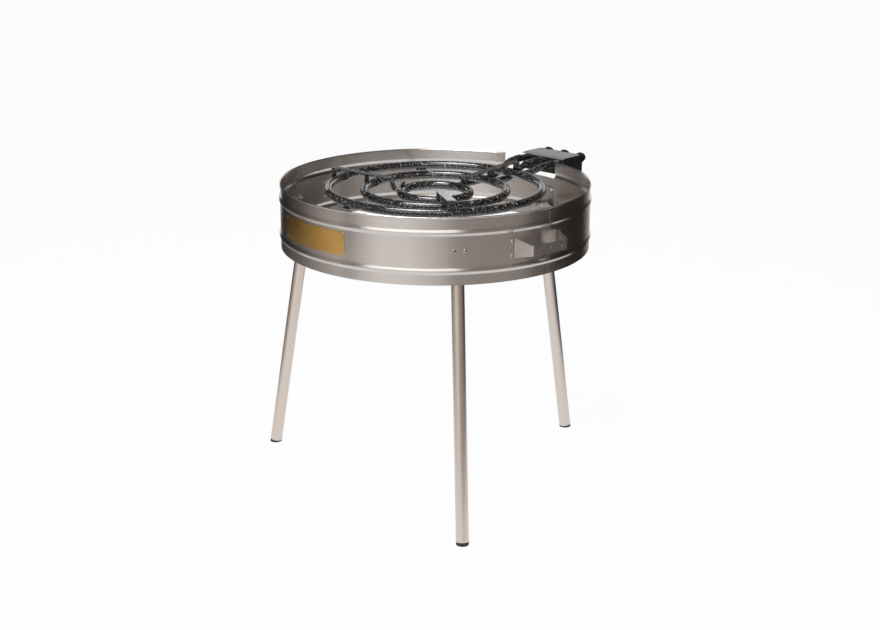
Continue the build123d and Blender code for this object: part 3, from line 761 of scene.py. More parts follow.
def fold(mesh: BMesh, corners: Sequence[Vector], bend: float, width: Vector) -> None:
    """Adds an open sheet of straight runs with round corners.

    Args:
        mesh: the empty mesh to add to.
        corners: the ends and corners along one side of the sheet.
        bend: how far from a corner its rounding starts.
        width: the way from that side to the other.
    """
    inner = [vertex for vertex in ends_of(chain(mesh, corners)) if len(vertex.link_edges) == 2]
    rounded(mesh, inner, bend, BEND_STEPS, "VERTICES")
    merge_points(mesh, SAME_BEND)
    drawn_out(mesh, mesh.edges[:], width)


def linked(name: str, data: bpy.types.ID) -> bpy.types.Object:
    """Makes an object and links it to the scene.

    Args:
        name: its name.
        data: its data.

    Returns:
        The object.
    """
    made = bpy.data.objects.new(name, data)
    bpy.context.scene.collection.objects.link(made)
    return made


def new_object(name: str, mesh: BMesh, material: bpy.types.Material) -> bpy.types.Object:
    """Makes an object of a mesh, which is freed.

    Args:
        name: the object's name.
        mesh: its mesh, in the shared frame.
        material: its material.

    Returns:
        The object.
    """
    data = bpy.data.meshes.new(name)
    mesh.to_mesh(data)
    mesh.free()
    data.materials.append(material)
    return linked(name, data)


def piece(name: str, mesh: BMesh, body: str, finish: Finish, replaces: Sequence[str] = ()) -> None:
    """Makes a finished piece of a mesh.

    Args:
        name: the piece's name.
        mesh: its mesh, in the shared frame.
        body: the body that it rides on.
        finish: its finish.
        replaces: the CAD nodes that it stands for.
    """
    for edge in mesh.edges:
        edge.smooth = edge.calc_face_angle(0.0) < math.radians(SHADE_CREASE)
    for face in mesh.faces:
        face.smooth = True
    made = new_object(name, mesh, finish.material())
    made.modifiers.new("even_shading", "WEIGHTED_NORMAL").keep_sharp = True
    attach(made, body)
    if replaces:
        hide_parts(*replaces)
    LOG.info("%s rides on %s, %d faces", name, body, len(made.data.polygons))


def softened_piece(name: str, node: str, body: str, finish: Finish, width: float, crease: float) -> None:
    """Makes a piece that is a copy of its CAD node with rounded edges.

    Args:
        name: the piece's name.
        node: the CAD node.
        body: the body that it rides on.
        finish: its finish.
        width: how far from an edge the rounding starts.
        crease: the angle from which an edge is sharp, in degrees.
    """
    mesh = bmesh.new()
    mesh.from_mesh(frame["nodes"][node].data)
    merge_points(mesh)
    bmesh.ops.dissolve_limit(
        mesh, angle_limit=math.radians(CAD_FLAT), verts=mesh.verts[:], edges=mesh.edges[:]
    )
    soften(mesh, width, crease)
    piece(name, mesh, body, finish, [node])


def dress(finish: Finish, *nodes: str) -> None:
    """Gives CAD nodes that stay a finish.

    Args:
        finish: the finish.
        nodes: the nodes' names.
    """
    for node in nodes:
        data = frame["nodes"][node].data
        data.materials.clear()
        data.materials.append(finish.material())
        LOG.info("%s keeps its CAD shape", node)


@dataclass(frozen=True)
class Finishes:
    """All the finishes of the stand."""

    drum: Finish
    folded: Finish
    leg: Finish
    foot: Finish
    fastener: Finish
    gold: Finish
    enamel: Finish
    worn_enamel: Finish
    # painted shade: the near-black of the flame-hole discs stands for the dark inside of each hole
    soot: Finish
    paint: Finish
    zinc: Finish
    brass: Finish
    knob: Finish

    @classmethod
    def for_site(cls, site: Site) -> "Finishes":
        """Returns the finishes, with the drum's grain round its axis."""
        axis = (site.axis.x, site.axis.y)
        return cls(
            drum=BrushedSteel("rolled_steel", "stainless_sheet", Grain.ROUND_THE_DRUM, axis),
            folded=BrushedSteel("folded_steel", "stainless_sheet", roughness=0.30, spread=0.5),
            leg=BrushedSteel(
                "leg_steel", "leg_tube", Grain.DOWN_THE_TUBE, dark=(0.62, 0.55, 0.50),
                light=(0.72, 0.645, 0.585), roughness=0.36, spread=0.0,
            ),
            foot=Coated("foot_rubber", "foot_cap", (0.012, 0.012, 0.012), (0.04, 0.04, 0.04), 0.6),
            fastener=Coated(
                "plated_steel", "fasteners", (0.55, 0.54, 0.52), (0.35, 0.33, 0.30), 0.28,
                metallic=1.0, grain=700.0, cloud=120.0, depth=0.00001,
            ),
            gold=GoldPlate("gold_plate", "nameplate_gold"),
            enamel=SpeckledEnamel("enamel_gloss", "speckled_enamel"),
            worn_enamel=SpeckledEnamel("enamel_worn", "speckled_enamel", 0.4),
            # flame-hole discs: near-black painted shade standing in for the dark inside of holes that are not
            # drilled
            soot=Coated("flame_hole", "speckled_enamel", (0.004, 0.004, 0.004), (0.02, 0.018, 0.016), 0.9),
            paint=Coated("paint_black", "black_paint", (0.012, 0.012, 0.013), (0.03, 0.03, 0.03), 0.38),
            zinc=GalvanisedSheet("sheet_galvanised", "galvanised_sheet"),
            brass=Coated(
                "brass_turned", "valve_brass", (0.36, 0.24, 0.085), (0.24, 0.155, 0.055), 0.36,
                metallic=1.0, grain=500.0, cloud=80.0, depth=0.00001,
            ),
            knob=Coated("plastic_moulded", "knob_plastic", (0.010, 0.010, 0.010), (0.022, 0.022, 0.022), 0.5),
        )


@dataclass
class Fastener:
    """A button-headed screw or a rivet; the recess's measures are shares of its head."""

    head: float
    rise: float
    shank: float
    length: float
    recess: bool = True
    chamfer: float = 0.0004
    steps: int = 24
    dome_steps: int = 6
    opening: float = 0.60
    star_points: int = 8
    star: float = 0.46
    star_waist: float = 0.42
    recess_depth: float = 0.45
    recess_floor: float = 0.5

    def add(self, mesh: BMesh, place: Matrix) -> None:
        """Adds one fastener, its head's seat at the place and its head along z.

        Args:
            mesh: the mesh to add to.
            place: the seat of the head.
        """
        ball = (self.head**2 + self.rise**2) / (2.0 * self.rise)
        edge = math.degrees(math.asin((ball - self.rise) / ball))
        top = math.degrees(math.acos(self.opening * self.head / ball)) if self.recess else 90.0
        outline = [
            (0.0, -self.length),
            (self.shank - self.chamfer, -self.length),
            (self.shank, self.chamfer - self.length),
            (self.shank, 0.0),
            (self.head - self.chamfer / 2.0, 0.0),
        ]
        outline += arc((0.0, self.rise - ball), ball, edge, top, self.dome_steps)
        turned(mesh, outline, place, self.steps)
        if self.recess:
            self.add_recess(mesh, place)

    def add_recess(self, mesh: BMesh, place: Matrix) -> None:
        """Closes the open top of a head with a cross recess.

        Args:
            mesh: the mesh with the open head.
            place: the seat of the head.
        """
        rim = [edge for edge in mesh.edges if edge.is_boundary]
        level = place.inverted() @ rim[0].verts[0].co
        flat = place @ Matrix.Translation((0.0, 0.0, level.z))
        middle = flat.translation
        star = bmesh.ops.create_circle(
            mesh, segments=self.star_points, radius=self.star * self.head, matrix=flat
        )["verts"]
        for corner in star[1::2]:
            corner.co = middle + (corner.co - middle) * self.star_waist
        cross = edges_at(star)
        bmesh.ops.bridge_loops(mesh, edges=rim + cross)
        sunk = bmesh.ops.extrude_edge_only(mesh, edges=cross)["geom"]
        bottom = middle - flat.to_3x3() @ UP * (self.recess_depth * self.rise)
        for corner in only(sunk, BMVert):
            corner.co = bottom + (corner.co - middle) * self.recess_floor
        bmesh.ops.holes_fill(mesh, edges=only(sunk, BMEdge), sides=0)
        even_out(mesh)


@dataclass
class Nut:
    """A hexagon nut with chamfered ends; the chamfer is a share of its thickness."""

    flats: float
    thick: float
    sides: int = 6
    chamfer: float = 0.12
    end: float = 0.92

    def add(self, mesh: BMesh, place: Matrix) -> None:
        """Adds a nut that stands on the place and rises along z.

        Args:
            mesh: the mesh to add to.
            place: the middle of its seat.
        """
        corner = self.flats / 2.0 / math.cos(math.pi / self.sides)
        chamfer = self.chamfer * self.thick
        rings = [(self.end, 0.0), (1.0, chamfer), (1.0, self.thick - chamfer), (self.end, self.thick)]
        loops = []
        for share, level in rings:
            matrix = place @ Matrix.Translation((0.0, 0.0, level))
            ring = bmesh.ops.create_circle(mesh, segments=self.sides, radius=corner * share, matrix=matrix)
            loops.append(edges_at(ring["verts"]))
        for lower, upper in zip(loops, loops[1:]):
            bmesh.ops.bridge_loops(mesh, edges=lower + upper)
        for end in (loops[0], loops[-1]):
            bmesh.ops.holes_fill(mesh, edges=end, sides=0)
        even_out(mesh)


@dataclass
class Bolts:
    """Button screws through the drum wall, with hexagon nuts inside it."""

    site: Site
    finish: Finish
    head: float = 0.0046
    rise: float = 0.0026
    shank: float = 0.0025
    spare: float = 0.0015
    nut_flats: float = 0.008
    nut_thick: float = 0.004

    def build(self, name: str, spots: Sequence[Pair], seat: float, inside: float) -> None:
        """Builds a group of screws and nuts.

        Args:
            name: what they hold, as their nodes name it.
            spots: each screw's azimuth and height.
            seat: the radius that the heads rest on.
            inside: the radius that the nuts rest on.
        """
        screw = Fastener(self.head, self.rise, self.shank, seat - inside + self.nut_thick + self.spare)
        nut = Nut(self.nut_flats, self.nut_thick)
        screws, nuts = bmesh.new(), bmesh.new()
        inwards = Matrix.Rotation(math.pi, 4, "Y")
        for azimuth, level in spots:
            screw.add(screws, self.site.outward(azimuth, seat, level))
            nut.add(nuts, self.site.outward(azimuth, inside, level) @ inwards)
        piece(f"{name}_button_screws", screws, STAND, self.finish, [f"{name}_screws"])
        piece(f"{name}_hex_nuts", nuts, STAND, self.finish, [f"{name}_nuts"])


@dataclass
class Drum:
    """The wind guard: a rolled sheet with two beads, a notch, a seam and its nameplate."""

    site: Site
    finishes: Finishes
    bead_width: float = 0.0165
    bead_proud: float = 0.0032
    bead_heights: Pair = (0.585, 0.667)
    bead_steps: int = 14
    bead_guard: float = 0.0012
    round_steps: int = 288
    edge: float = 0.0004
    hem_tall: float = 0.0034
    hem_proud: float = 0.0011
    hem_shape: tuple[Pair, ...] = ((1.0, 0.0), (0.8, 0.55), (0.5, 1.0), (0.2, 0.8), (0.0, 0.2))
    notch_azimuth: float = 189.7
    notch_width: float = 0.155
    notch_depth: float = 0.0445
    notch_corner: float = 0.010
    notch_steps: int = 6
    notch_nearness: float = 0.9
    notch_slack: float = 1.02
    seam_width: float = 0.0014
    seam_proud: float = 0.0003
    seam_edge: float = 0.00012
    plate_azimuth: float = 1.6
    plate_width: float = 0.213
    plate_tall: float = 0.0515
    plate_height: float = 0.6285
    plate_sheet: float = 0.001
    plate_corner: float = 0.004
    plate_edge: float = 0.0002
    plate_steps: int = 40
    rivet_across: float = 0.0995
    rivet_up: float = 0.02075
    rivet_head: float = 0.0028
    rivet_rise: float = 0.0010
    rivet_shank: float = 0.0016
    rivet_spare: float = 0.0015

    def __post_init__(self) -> None:
        """Takes the drum's heights from the frame."""
        low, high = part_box("drum_shell")
        self.base, self.rim = low.z, high.z

    def outline(self, swell: float = 0.0) -> Outline:
        """Draws the wall's outer line from base to rim.

        Args:
            swell: how far outwards it is moved.

        Returns:
            The line's radius and height pairs.
        """
        wall = DRUM_RADIUS + swell
        points = [(wall, self.base)]
        for middle in self.bead_heights:
            reach = self.bead_width / 2.0 + self.bead_guard
            points.append((wall, middle - reach))
            for step in range(self.bead_steps + 1):
                share = step / self.bead_steps - 0.5
                proud = self.bead_proud * 0.5 * (1.0 + math.cos(FULL_TURN * share))
                points.append((wall + proud, middle + self.bead_width * share))
            points.append((wall, middle + reach))
        points.append((wall, self.rim - self.hem_tall - self.bead_guard))
        for share, proud in self.hem_shape:
            points.append((wall + self.hem_proud * proud, self.rim - self.hem_tall * share))
        return points

    def cut_notch(self, mesh: BMesh) -> None:
        """Cuts the round-cornered notch for the arm out of the back of the rim.

        Args:
            mesh: the open wall.
        """
        out = self.site.bearing(self.notch_azimuth)
        side = UP.cross(out)
        half = self.notch_width / 2.0
        floor = self.rim - self.notch_depth
        corner_side, corner_up = half - self.notch_corner, floor + self.notch_corner
        nearest = self.notch_nearness * DRUM_RADIUS

        def near(face: BMFace) -> bool:
            """Says whether a face is in the part of the wall round the notch."""
            middle = face.calc_center_median() - self.site.axis
            return middle.dot(out) > nearest and middle.z > floor - self.notch_corner

        def inside(point: Vector) -> bool:
            """Says whether a point is in the notch.

            Args:
                point: the point.

            Returns:
                True if it is.
            """
            off, level = abs((point - self.site.axis).dot(side)), point.z
            if off > half or level < floor:
                return False
            past = (off - corner_side, corner_up - level)
            return min(past) < 0.0 or math.hypot(*past) < self.notch_corner * self.notch_slack

        planes = []
        for hand in BOTH_HANDS:
            for step in range(self.notch_steps + 1):
                turn = math.radians(90.0 * step / self.notch_steps)
                normal = side * (hand * math.sin(turn)) - UP * math.cos(turn)
                middle = self.site.axis + side * (hand * corner_side) + UP * corner_up
                planes.append((middle + normal * self.notch_corner, normal))
        for point, normal in planes:
            faces = [face for face in mesh.faces if near(face)]
            edges = list(dict.fromkeys(edge for face in faces for edge in face.edges))
            cut(mesh, faces + edges + ends_of(edges), point, normal)
        gone = [face for face in mesh.faces if near(face) and inside(face.calc_center_median())]
        bmesh.ops.delete(mesh, geom=gone, context="FACES")

    def looks_out(self, face: BMFace) -> float:
        """Returns how far a face of the wall looks away from the drum axis, by its area."""
        away = face.calc_center_median() - self.site.axis
        return face.normal.dot(Vector((away.x, away.y, 0.0))) * face.calc_area()

    def build_wall(self) -> None:
        """Builds the wall."""
        mesh = bmesh.new()
        turned(mesh, self.outline(), Matrix.Translation(self.site.axis), self.round_steps)
        self.cut_notch(mesh)
        even_out(mesh)
        mesh.normal_update()
        if sum(self.looks_out(face) for face in mesh.faces) < 0.0:
            turn_over(mesh)
        bmesh.ops.solidify(mesh, geom=mesh.faces[:], thickness=DRUM_SHEET)
        soften(mesh, self.edge, SHEET_CREASE)
        piece("drum_wall", mesh, STAND, self.finishes.drum, ["drum_shell"])

    def build_seam(self) -> None:
        """Builds the lapped seam of the rolled sheet."""
        mesh = bmesh.new()
        line = [self.site.point(SEAM_AZIMUTH, *spot) for spot in self.outline(self.seam_proud)]
        spun(mesh, chain(mesh, line), self.site.axis, UP, self.seam_width / DRUM_RADIUS, 2)
        hollow_out(mesh, self.site.bearing(SEAM_AZIMUTH), 2.0 * self.seam_proud)
        soften(mesh, self.seam_edge, FOLD_CREASE)
        piece("drum_seam", mesh, STAND, self.finishes.folded)

    def build_plate(self) -> None:
        """Builds the bare nameplate and its rivets."""
        mesh = bmesh.new()
        place = self.site.outward(self.plate_azimuth, 0.0, self.plate_height)
        bmesh.ops.create_grid(mesh, x_segments=self.plate_steps, y_segments=2, size=0.5)
        bmesh.ops.scale(mesh, verts=mesh.verts[:], vec=(self.plate_width, self.plate_tall, 1.0))
        corners = [vertex for vertex in mesh.verts if len(vertex.link_edges) == 2]
        rounded(mesh, corners, self.plate_corner, BEND_STEPS, "VERTICES")
        face = DRUM_RADIUS + SEAT_GAP + self.plate_sheet
        for vertex in mesh.verts:
            turn = vertex.co.x / DRUM_RADIUS
            vertex.co = place @ Vector((face * math.sin(turn), vertex.co.y, face * math.cos(turn)))
        hollow_out(mesh, self.site.bearing(self.plate_azimuth), self.plate_sheet)
        soften(mesh, self.plate_edge, SHEET_CREASE)
        piece("front_plate", mesh, STAND, self.finishes.gold, ["nameplate"])
        rivets = bmesh.new()
        seat = face + SEAT_GAP
        length = seat - DRUM_RADIUS + DRUM_SHEET + self.rivet_spare
        rivet = Fastener(self.rivet_head, self.rivet_rise, self.rivet_shank, length, False)
        turn = math.degrees(self.rivet_across / DRUM_RADIUS)
        for hand in BOTH_HANDS:
            for level in BOTH_HANDS:
                height = self.plate_height + level * self.rivet_up
                rivet.add(rivets, self.site.outward(self.plate_azimuth + hand * turn, seat, height))
        piece("plate_rivets", rivets, STAND, self.finishes.fastener, ["nameplate_rivets"])

    def build(self) -> None:
        """Builds the drum's pieces."""
        self.build_wall()
        self.build_seam()
        self.build_plate()


@dataclass
class Handles:
    """Two folded sheet handles with their screws and nuts."""

    site: Site
    finishes: Finishes
    azimuths: tuple[tuple[str, float], ...] = (("right", 90.0), ("left", -90.0))
    sheet: float = 0.002
    reach: float = 0.0375
    wall_width: float = 0.118
    front_width: float = 0.095
    wall_tall: float = 0.043
    front_tall: float = 0.022
    height: float = 0.6255
    flange: float = 0.015
    bolt_inset: float = 0.0056
    bend: float = 0.0022
    edge: float = 0.0003
    hole_radius: float = 0.0025
    hole_pitch: float = 0.031
    hole_steps: int = 24
    square: float = 0.999

    def __post_init__(self) -> None:
        """Works out where the flanges and screws stand."""
        self.seat = DRUM_RADIUS + SEAT_GAP
        self.foot_turn = math.asin(self.wall_width / 2.0 / DRUM_RADIUS)
        self.flange_turn = self.foot_turn + self.flange / DRUM_RADIUS
        self.bolt_turn = math.degrees(self.foot_turn + self.flange / 2.0 / DRUM_RADIUS)

    def bolt_spots(self) -> list[Pair]:
        """Returns each screw's azimuth and height."""
        lift = self.wall_tall / 2.0 - self.bolt_inset
        return [
            (azimuth + hand * self.bolt_turn, self.height + level * lift)
            for _, azimuth in self.azimuths
            for hand in BOTH_HANDS
            for level in BOTH_HANDS
        ]

    def build_handle(self, side: str, azimuth: float) -> None:
        """Builds one handle.

        Args:
            side: its side, as its node names it.
            azimuth: where it stands.
        """
        mesh = bmesh.new()
        front = DRUM_RADIUS + self.reach
        turns = (self.flange_turn, self.foot_turn)
        line = [(self.seat * math.sin(turn), self.seat * math.cos(turn)) for turn in turns]
        line.append((self.front_width / 2.0, front))
        line += [(-across, out) for across, out in reversed(line)]
        corners = [Vector((across, -self.wall_tall / 2.0, out)) for across, out in line]
        fold(mesh, corners, self.bend, Vector((0.0, self.wall_tall, 0.0)))
        root = self.seat * math.cos(self.foot_turn)
        for vertex in mesh.verts:
            share = min(1.0, max(0.0, (vertex.co.z - root) / (front - root)))
            tall = self.wall_tall + (self.front_tall - self.wall_tall) * share
            vertex.co.y *= tall / self.wall_tall
        self.drill_front(mesh, front)
        place = self.site.outward(azimuth, 0.0, self.height)
        bmesh.ops.transform(mesh, matrix=place, verts=mesh.verts[:])
        hollow_out(mesh, -self.site.bearing(azimuth), self.sheet)
        soften(mesh, self.edge, SHEET_CREASE)
        piece(f"{side}_carry_handle", mesh, STAND, self.finishes.folded, [f"{side}_handle"])

    def drill_front(self, mesh: BMesh, front: float) -> None:
        """Opens three round holes in the front of a handle that lies in its own place.

        Args:
            mesh: the open sheet.
            front: how far out its front lies.
        """
        for hand in BOTH_HANDS:
            everything = mesh.verts[:] + mesh.edges[:] + mesh.faces[:]
            cut(mesh, everything, (hand * self.hole_pitch / 2.0, 0.0, 0.0), (1.0, 0.0, 0.0))
        mesh.normal_update()
        plates = [
            face for face in mesh.faces
            if abs(face.normal.z) > self.square and face.calc_center_median().z > front - self.bend
        ]
        for plate in plates:
            border = plate.edges[:]
            column = round(plate.calc_center_median().x / self.hole_pitch)
            bmesh.ops.delete(mesh, geom=[plate], context="FACES_ONLY")
            spot = Matrix.Translation((column * self.hole_pitch, 0.0, front))
            ring = bmesh.ops.create_circle(
                mesh, segments=self.hole_steps, radius=self.hole_radius, matrix=spot
            )["verts"]
            bmesh.ops.triangle_fill(mesh, edges=border + edges_at(ring), use_beauty=True)
        even_out(mesh)

    def build(self) -> None:
        """Builds both handles, their screws and nuts."""
        for side, azimuth in self.azimuths:
            self.build_handle(side, azimuth)
        seat, inside = self.seat + self.sheet + SEAT_GAP, DRUM_RADIUS - DRUM_SHEET - SEAT_GAP
        Bolts(self.site, self.finishes.fastener).build("handle", self.bolt_spots(), seat, inside)


@dataclass
class Legs:
    """Three splayed tube legs with their caps, sockets, brackets and screws."""

    site: Site
    finishes: Finishes
    azimuths: tuple[tuple[str, float], ...] = (("front_right", 60.0), ("front_left", -60.0), ("rear", 180.0))
    radius: float = 0.014
    wall: float = 0.0015
    foot_rise: float = 0.006
    foot_plug: float = 0.016
    foot_round: float = 0.0015
    bolt_height: float = 0.628
    bolt_pitch: float = 0.024
    bracket_sheet: float = 0.002
    bracket_edge: float = 0.0004
    steps: int = 64

    def axis_place(self, side: str, azimuth: float) -> Matrix:
        """Finds a leg's place: its foot's middle on the floor, and z up the leg.

        Args:
            side: the leg's name in the frame.
            azimuth: where it stands.

        Returns:
            The place.
        """
        up_leg = -Vector(joint(f"leg_{side}_pull")["axis"]).normalized()
        lower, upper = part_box(f"leg_{side}")
        middle = (lower + upper) / 2.0
        foot = middle - up_leg * (middle.z / up_leg.z)
        across = UP.cross(self.site.bearing(azimuth))
        return placed(foot, across, up_leg.cross(across), up_leg)

    def build_leg(self, side: str, azimuth: float) -> None:
        """Builds one leg and its cap.

        Args:
            side: the leg's name in the frame.
            azimuth: where it stands.
        """
        place = self.axis_place(side, azimuth)
        body = f"leg_{side}_body"
        up_leg = place.col[2]
        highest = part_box(f"leg_{side}")[1].z
        end = (highest - self.radius * math.hypot(up_leg.x, up_leg.y)) / up_leg.z
        inner = self.radius - self.wall
        mesh = bmesh.new()
        outline = [(inner, self.foot_rise), (self.radius, self.foot_rise), (self.radius, end), (inner, end)]
        turned(mesh, outline, place, self.steps, True)
        piece(f"leg_{side}_tube", mesh, body, self.finishes.leg, [f"leg_{side}"])
        cap = bmesh.new()
        plug, top = inner - PUSH_GAP, self.foot_rise + self.foot_plug
        shoulder = (self.radius - self.foot_round, self.foot_rise - self.foot_round)
        outline = [(0.0, -self.radius), (self.radius, -self.radius)]
        outline += arc(shoulder, self.foot_round, 0.0, 90.0, BEND_STEPS)
        outline += [(plug, self.foot_rise), (plug, top), (0.0, top)]
        turned(cap, outline, place, self.steps)
        everything = cap.verts[:] + cap.edges[:] + cap.faces[:]
        cut(cap, everything, (0.0, 0.0, 0.0), UP, True)
        bmesh.ops.holes_fill(cap, edges=[edge for edge in cap.edges if edge.is_boundary], sides=0)
        even_out(cap)
        piece(f"leg_{side}_cap", cap, body, self.finishes.foot, [f"foot_{side}"])

    def build(self) -> None:
        """Builds the legs, brackets, screws and nuts."""
        folded = self.finishes.folded
        turn = math.degrees(self.bolt_pitch / 2.0 / DRUM_RADIUS)
        spots = []
        for side, azimuth in self.azimuths:
            self.build_leg(side, azimuth)
            node = f"leg_bracket_{side}"
            softened_piece(f"leg_{side}_bracket", node, STAND, folded, self.bracket_edge, CAD_CREASE)
            dress(folded, f"leg_socket_{side}")
            spots += [(azimuth + hand * turn, self.bolt_height) for hand in BOTH_HANDS]
        seat = DRUM_RADIUS + SEAT_GAP
        inside = DRUM_RADIUS - DRUM_SHEET - SEAT_GAP - self.bracket_sheet - SEAT_GAP
        Bolts(self.site, self.finishes.fastener).build("bracket", spots, seat, inside)


@dataclass
class Burner:
    """Three enamelled rings with their feed tubes, collars, pan supports and rests."""

    site: Site
    finishes: Finishes
    ring_radii: tuple[float, ...] = (0.2414, 0.1603, 0.0780)
    ring_heights: tuple[float, ...] = (0.682, 0.6762, 0.6704)
    ring_least: int = 72
    ring_density: float = 900.0
    tube: float = 0.0097
    tube_steps: int = 28
    feed_radius: float = 0.0076
    feed_wall: float = 0.0015
    feed_mouth: float = 0.403
    feed_bend: float = 0.024
    feed_steps: int = 8
    dip_start: float = 0.318
    tube_pass: float = 0.002
    collar_radius: float = 0.0092
    collar_start: float = 0.337
    collar_length: float = 0.018
    collar_edge: float = 0.0006
    port_pitch: float = 0.0135
    port_radius: float = 0.0013
    port_depth: float = 0.0006
    port_sink: float = 0.00015
    port_sides: int = 10
    port_turns: Pair = (78.0, 102.0)
    supports: tuple[tuple[str, float], ...] = (("front_right", 60.0), ("front_left", -58.0), ("rear", 181.7))
    strip_width: float = 0.020
    strip_sheet: float = 0.003
    strip_top: float = 0.711
    strip_slope: float = 6.0
    strip_bend: float = 0.004
    strip_edge: float = 0.0006
    lug_inset: float = 0.0012
    hooked: str = "front_left"
    hook_start: float = 0.1035
    hook_bend: float = 0.0018
    hook: tuple[Pair, ...] = (
        (0.1025, 0.6805), (0.0965, 0.6715), (0.0880, 0.6722), (0.0822, 0.6785), (0.0785, 0.6890)
    )
    weld: float = 0.0016
    weld_sides: int = 8
    weld_steps: int = 48
    rests: tuple[str, ...] = ("front", "rear_right", "rear_left")
    rest_edge: float = 0.0004

    def build_rings(self) -> None:
        """Builds the rings and the near-black discs of painted shade that stand for their flame holes."""
        ports = bmesh.new()
        for name, radius, height in zip(RINGS, self.ring_radii, self.ring_heights):
            mesh = bmesh.new()
            outline = arc((radius, height), self.tube, 0.0, 360.0, self.tube_steps)[:-1]
            steps = max(self.ring_least, int(radius * self.ring_density))
            turned(mesh, outline, Matrix.Translation(self.site.axis), steps, True)
            piece(f"{name}_burner_ring", mesh, BURNER, self.finishes.enamel, [f"{name}_ring"])
            count = int(FULL_TURN * radius / self.port_pitch)
            for row, turn in enumerate(self.port_turns):
                lean = math.radians(turn)
                for step in range(count):
                    out = self.site.bearing(360.0 * (step + row / 2.0) / count)
                    normal = out * math.cos(lean) + UP * math.sin(lean)
                    spot = self.site.axis + out * radius + UP * height + normal * (self.tube - self.port_sink)
                    matrix = Matrix.Translation(spot) @ normal.to_track_quat("Z", "Y").to_matrix().to_4x4()
                    # each port is a thin near-black disc set into the tube, painted shade in place of a
                    # drilled hole
                    bmesh.ops.create_cone(
                        ports, cap_ends=True, segments=self.port_sides, radius1=self.port_radius,
                        radius2=self.port_radius, depth=self.port_depth, matrix=matrix,
                    )
        piece("flame_hole_shades", ports, BURNER, self.finishes.soot)

    def feed_route(self, index: int) -> list[Vector]:
        """Returns the corners of a feed tube's middle line.

        Args:
            index: which ring it feeds, from the outside in.

        Returns:
            The corners, from the mouth to the ring.
        """
        across, level = FEED_ACROSS[index], self.ring_heights[index]
        ring = math.sqrt(self.ring_radii[index] ** 2 - across**2)
        fall = self.dip_start - self.ring_radii[0] - self.tube
        route = [(self.feed_mouth, FEED_HEIGHT), (self.dip_start, FEED_HEIGHT)]
        if index:
            low = self.ring_heights[index - 1] - self.tube - self.tube_pass - self.feed_radius
            end = ring + self.tube
            route += [(self.dip_start - fall, low), (end + fall / 2.0, low), (end, level)]
        else:
            route.append((self.dip_start - fall / 2.0, level))
        route.append((ring + self.tube / 3.0, level))
        return [self.site.arm_point(across, along, height) for along, height in route]

    def build_feed(self, index: int) -> None:
        """Builds a feed tube: a circle drawn along its route, spun round each bend.

        Args:
            index: which ring it feeds, from the outside in.
        """
        route = self.feed_route(index)
        mesh = bmesh.new()
        here = route[0]
        start = placed(here, self.site.across, UP, -self.site.along)
        made = bmesh.ops.create_circle(mesh, segments=self.tube_steps, radius=self.feed_radius, matrix=start)
        front = edges_at(made["verts"])
        for corner, beyond in zip(route[1:], route[2:] + [None]):
            heading = (corner - here).normalized()
            if beyond is None:
                drawn_out(mesh, front, corner - here)
                break
            leaving = (beyond - corner).normalized()
            bend = heading.angle(leaving)
            stop = corner - heading * (self.feed_bend * math.tan(bend / 2.0))
            front = drawn_out(mesh, front, stop - here)
            axis = heading.cross(leaving).normalized()
            centre = stop + axis.cross(heading) * self.feed_bend
            front = spun(mesh, front, centre, axis, bend, self.feed_steps)
            here = centre + Matrix.Rotation(bend, 3, axis) @ (stop - centre)
        merge_points(mesh)
        even_out(mesh)
        bmesh.ops.solidify(mesh, geom=mesh.faces[:], thickness=self.feed_wall)
        name = RINGS[index]
        piece(f"{name}_feed_pipe", mesh, BURNER, self.finishes.enamel, [f"feed_tube_{name}"])

    def build_weld(self, index: int) -> None:
        """Builds the weld bead where a feed tube meets its ring.

        Args:
            index: which ring it feeds, from the outside in.
        """
        mesh = bmesh.new()
        across, radius = FEED_ACROSS[index], self.ring_radii[index]
        outline = arc((self.feed_radius, 0.0), self.weld, 0.0, 360.0, self.weld_sides)[:-1]
        turned(mesh, outline, Matrix.Identity(4), self.weld_steps, True)
        for vertex in mesh.verts:
            x, y, z = vertex.co
            bulge = math.sqrt(max(self.tube**2 - y * y, 0.0))
            along = math.sqrt((radius + bulge) ** 2 - (across + x) ** 2) + z
            vertex.co = self.site.arm_point(across + x, along, self.ring_heights[index] + y)
        if mesh.calc_volume(signed=True) < 0.0:
            turn_over(mesh)
        piece(f"{RINGS[index]}_feed_weld", mesh, BURNER, self.finishes.enamel)

    def build_collar(self, index: int) -> None:
        """Builds the air collar of a feed tube.

        Args:
            index: which ring the tube feeds, from the outside in.
        """
        name, edge = RINGS[index], self.collar_edge
        collar = bmesh.new()
        place = self.site.arm_facing(FEED_ACROSS[index], self.collar_start, FEED_HEIGHT)
        bore, shoulder = self.feed_radius + PUSH_GAP, self.collar_radius - edge
        outline = [(bore, 0.0)]
        outline += arc((shoulder, edge), edge, -90.0, 0.0, CORNER_STEPS)
        outline += arc((shoulder, self.collar_length - edge), edge, 0.0, 90.0, CORNER_STEPS)
        outline += [(bore, self.collar_length)]
        turned(collar, outline, place, closed=True)
        piece(f"{name}_air_collar", collar, BURNER, self.finishes.paint, [f"air_collar_{name}"])

    def build_support(self, side: str, azimuth: float) -> None:
        """Builds a pan support.

        Args:
            side: its name in the frame.
            azimuth: where it stands.
        """
        mesh = bmesh.new()
        out = self.site.bearing(azimuth)
        across = UP.cross(out) * self.strip_width
        faces = [radius + self.tube - self.lug_inset for radius in self.ring_radii]
        fall = math.tan(math.radians(self.strip_slope))

        def top(radius: float) -> float:
            """Returns the height of the strip's upper side at a radius."""
            return self.strip_top - (faces[0] - radius) * fall

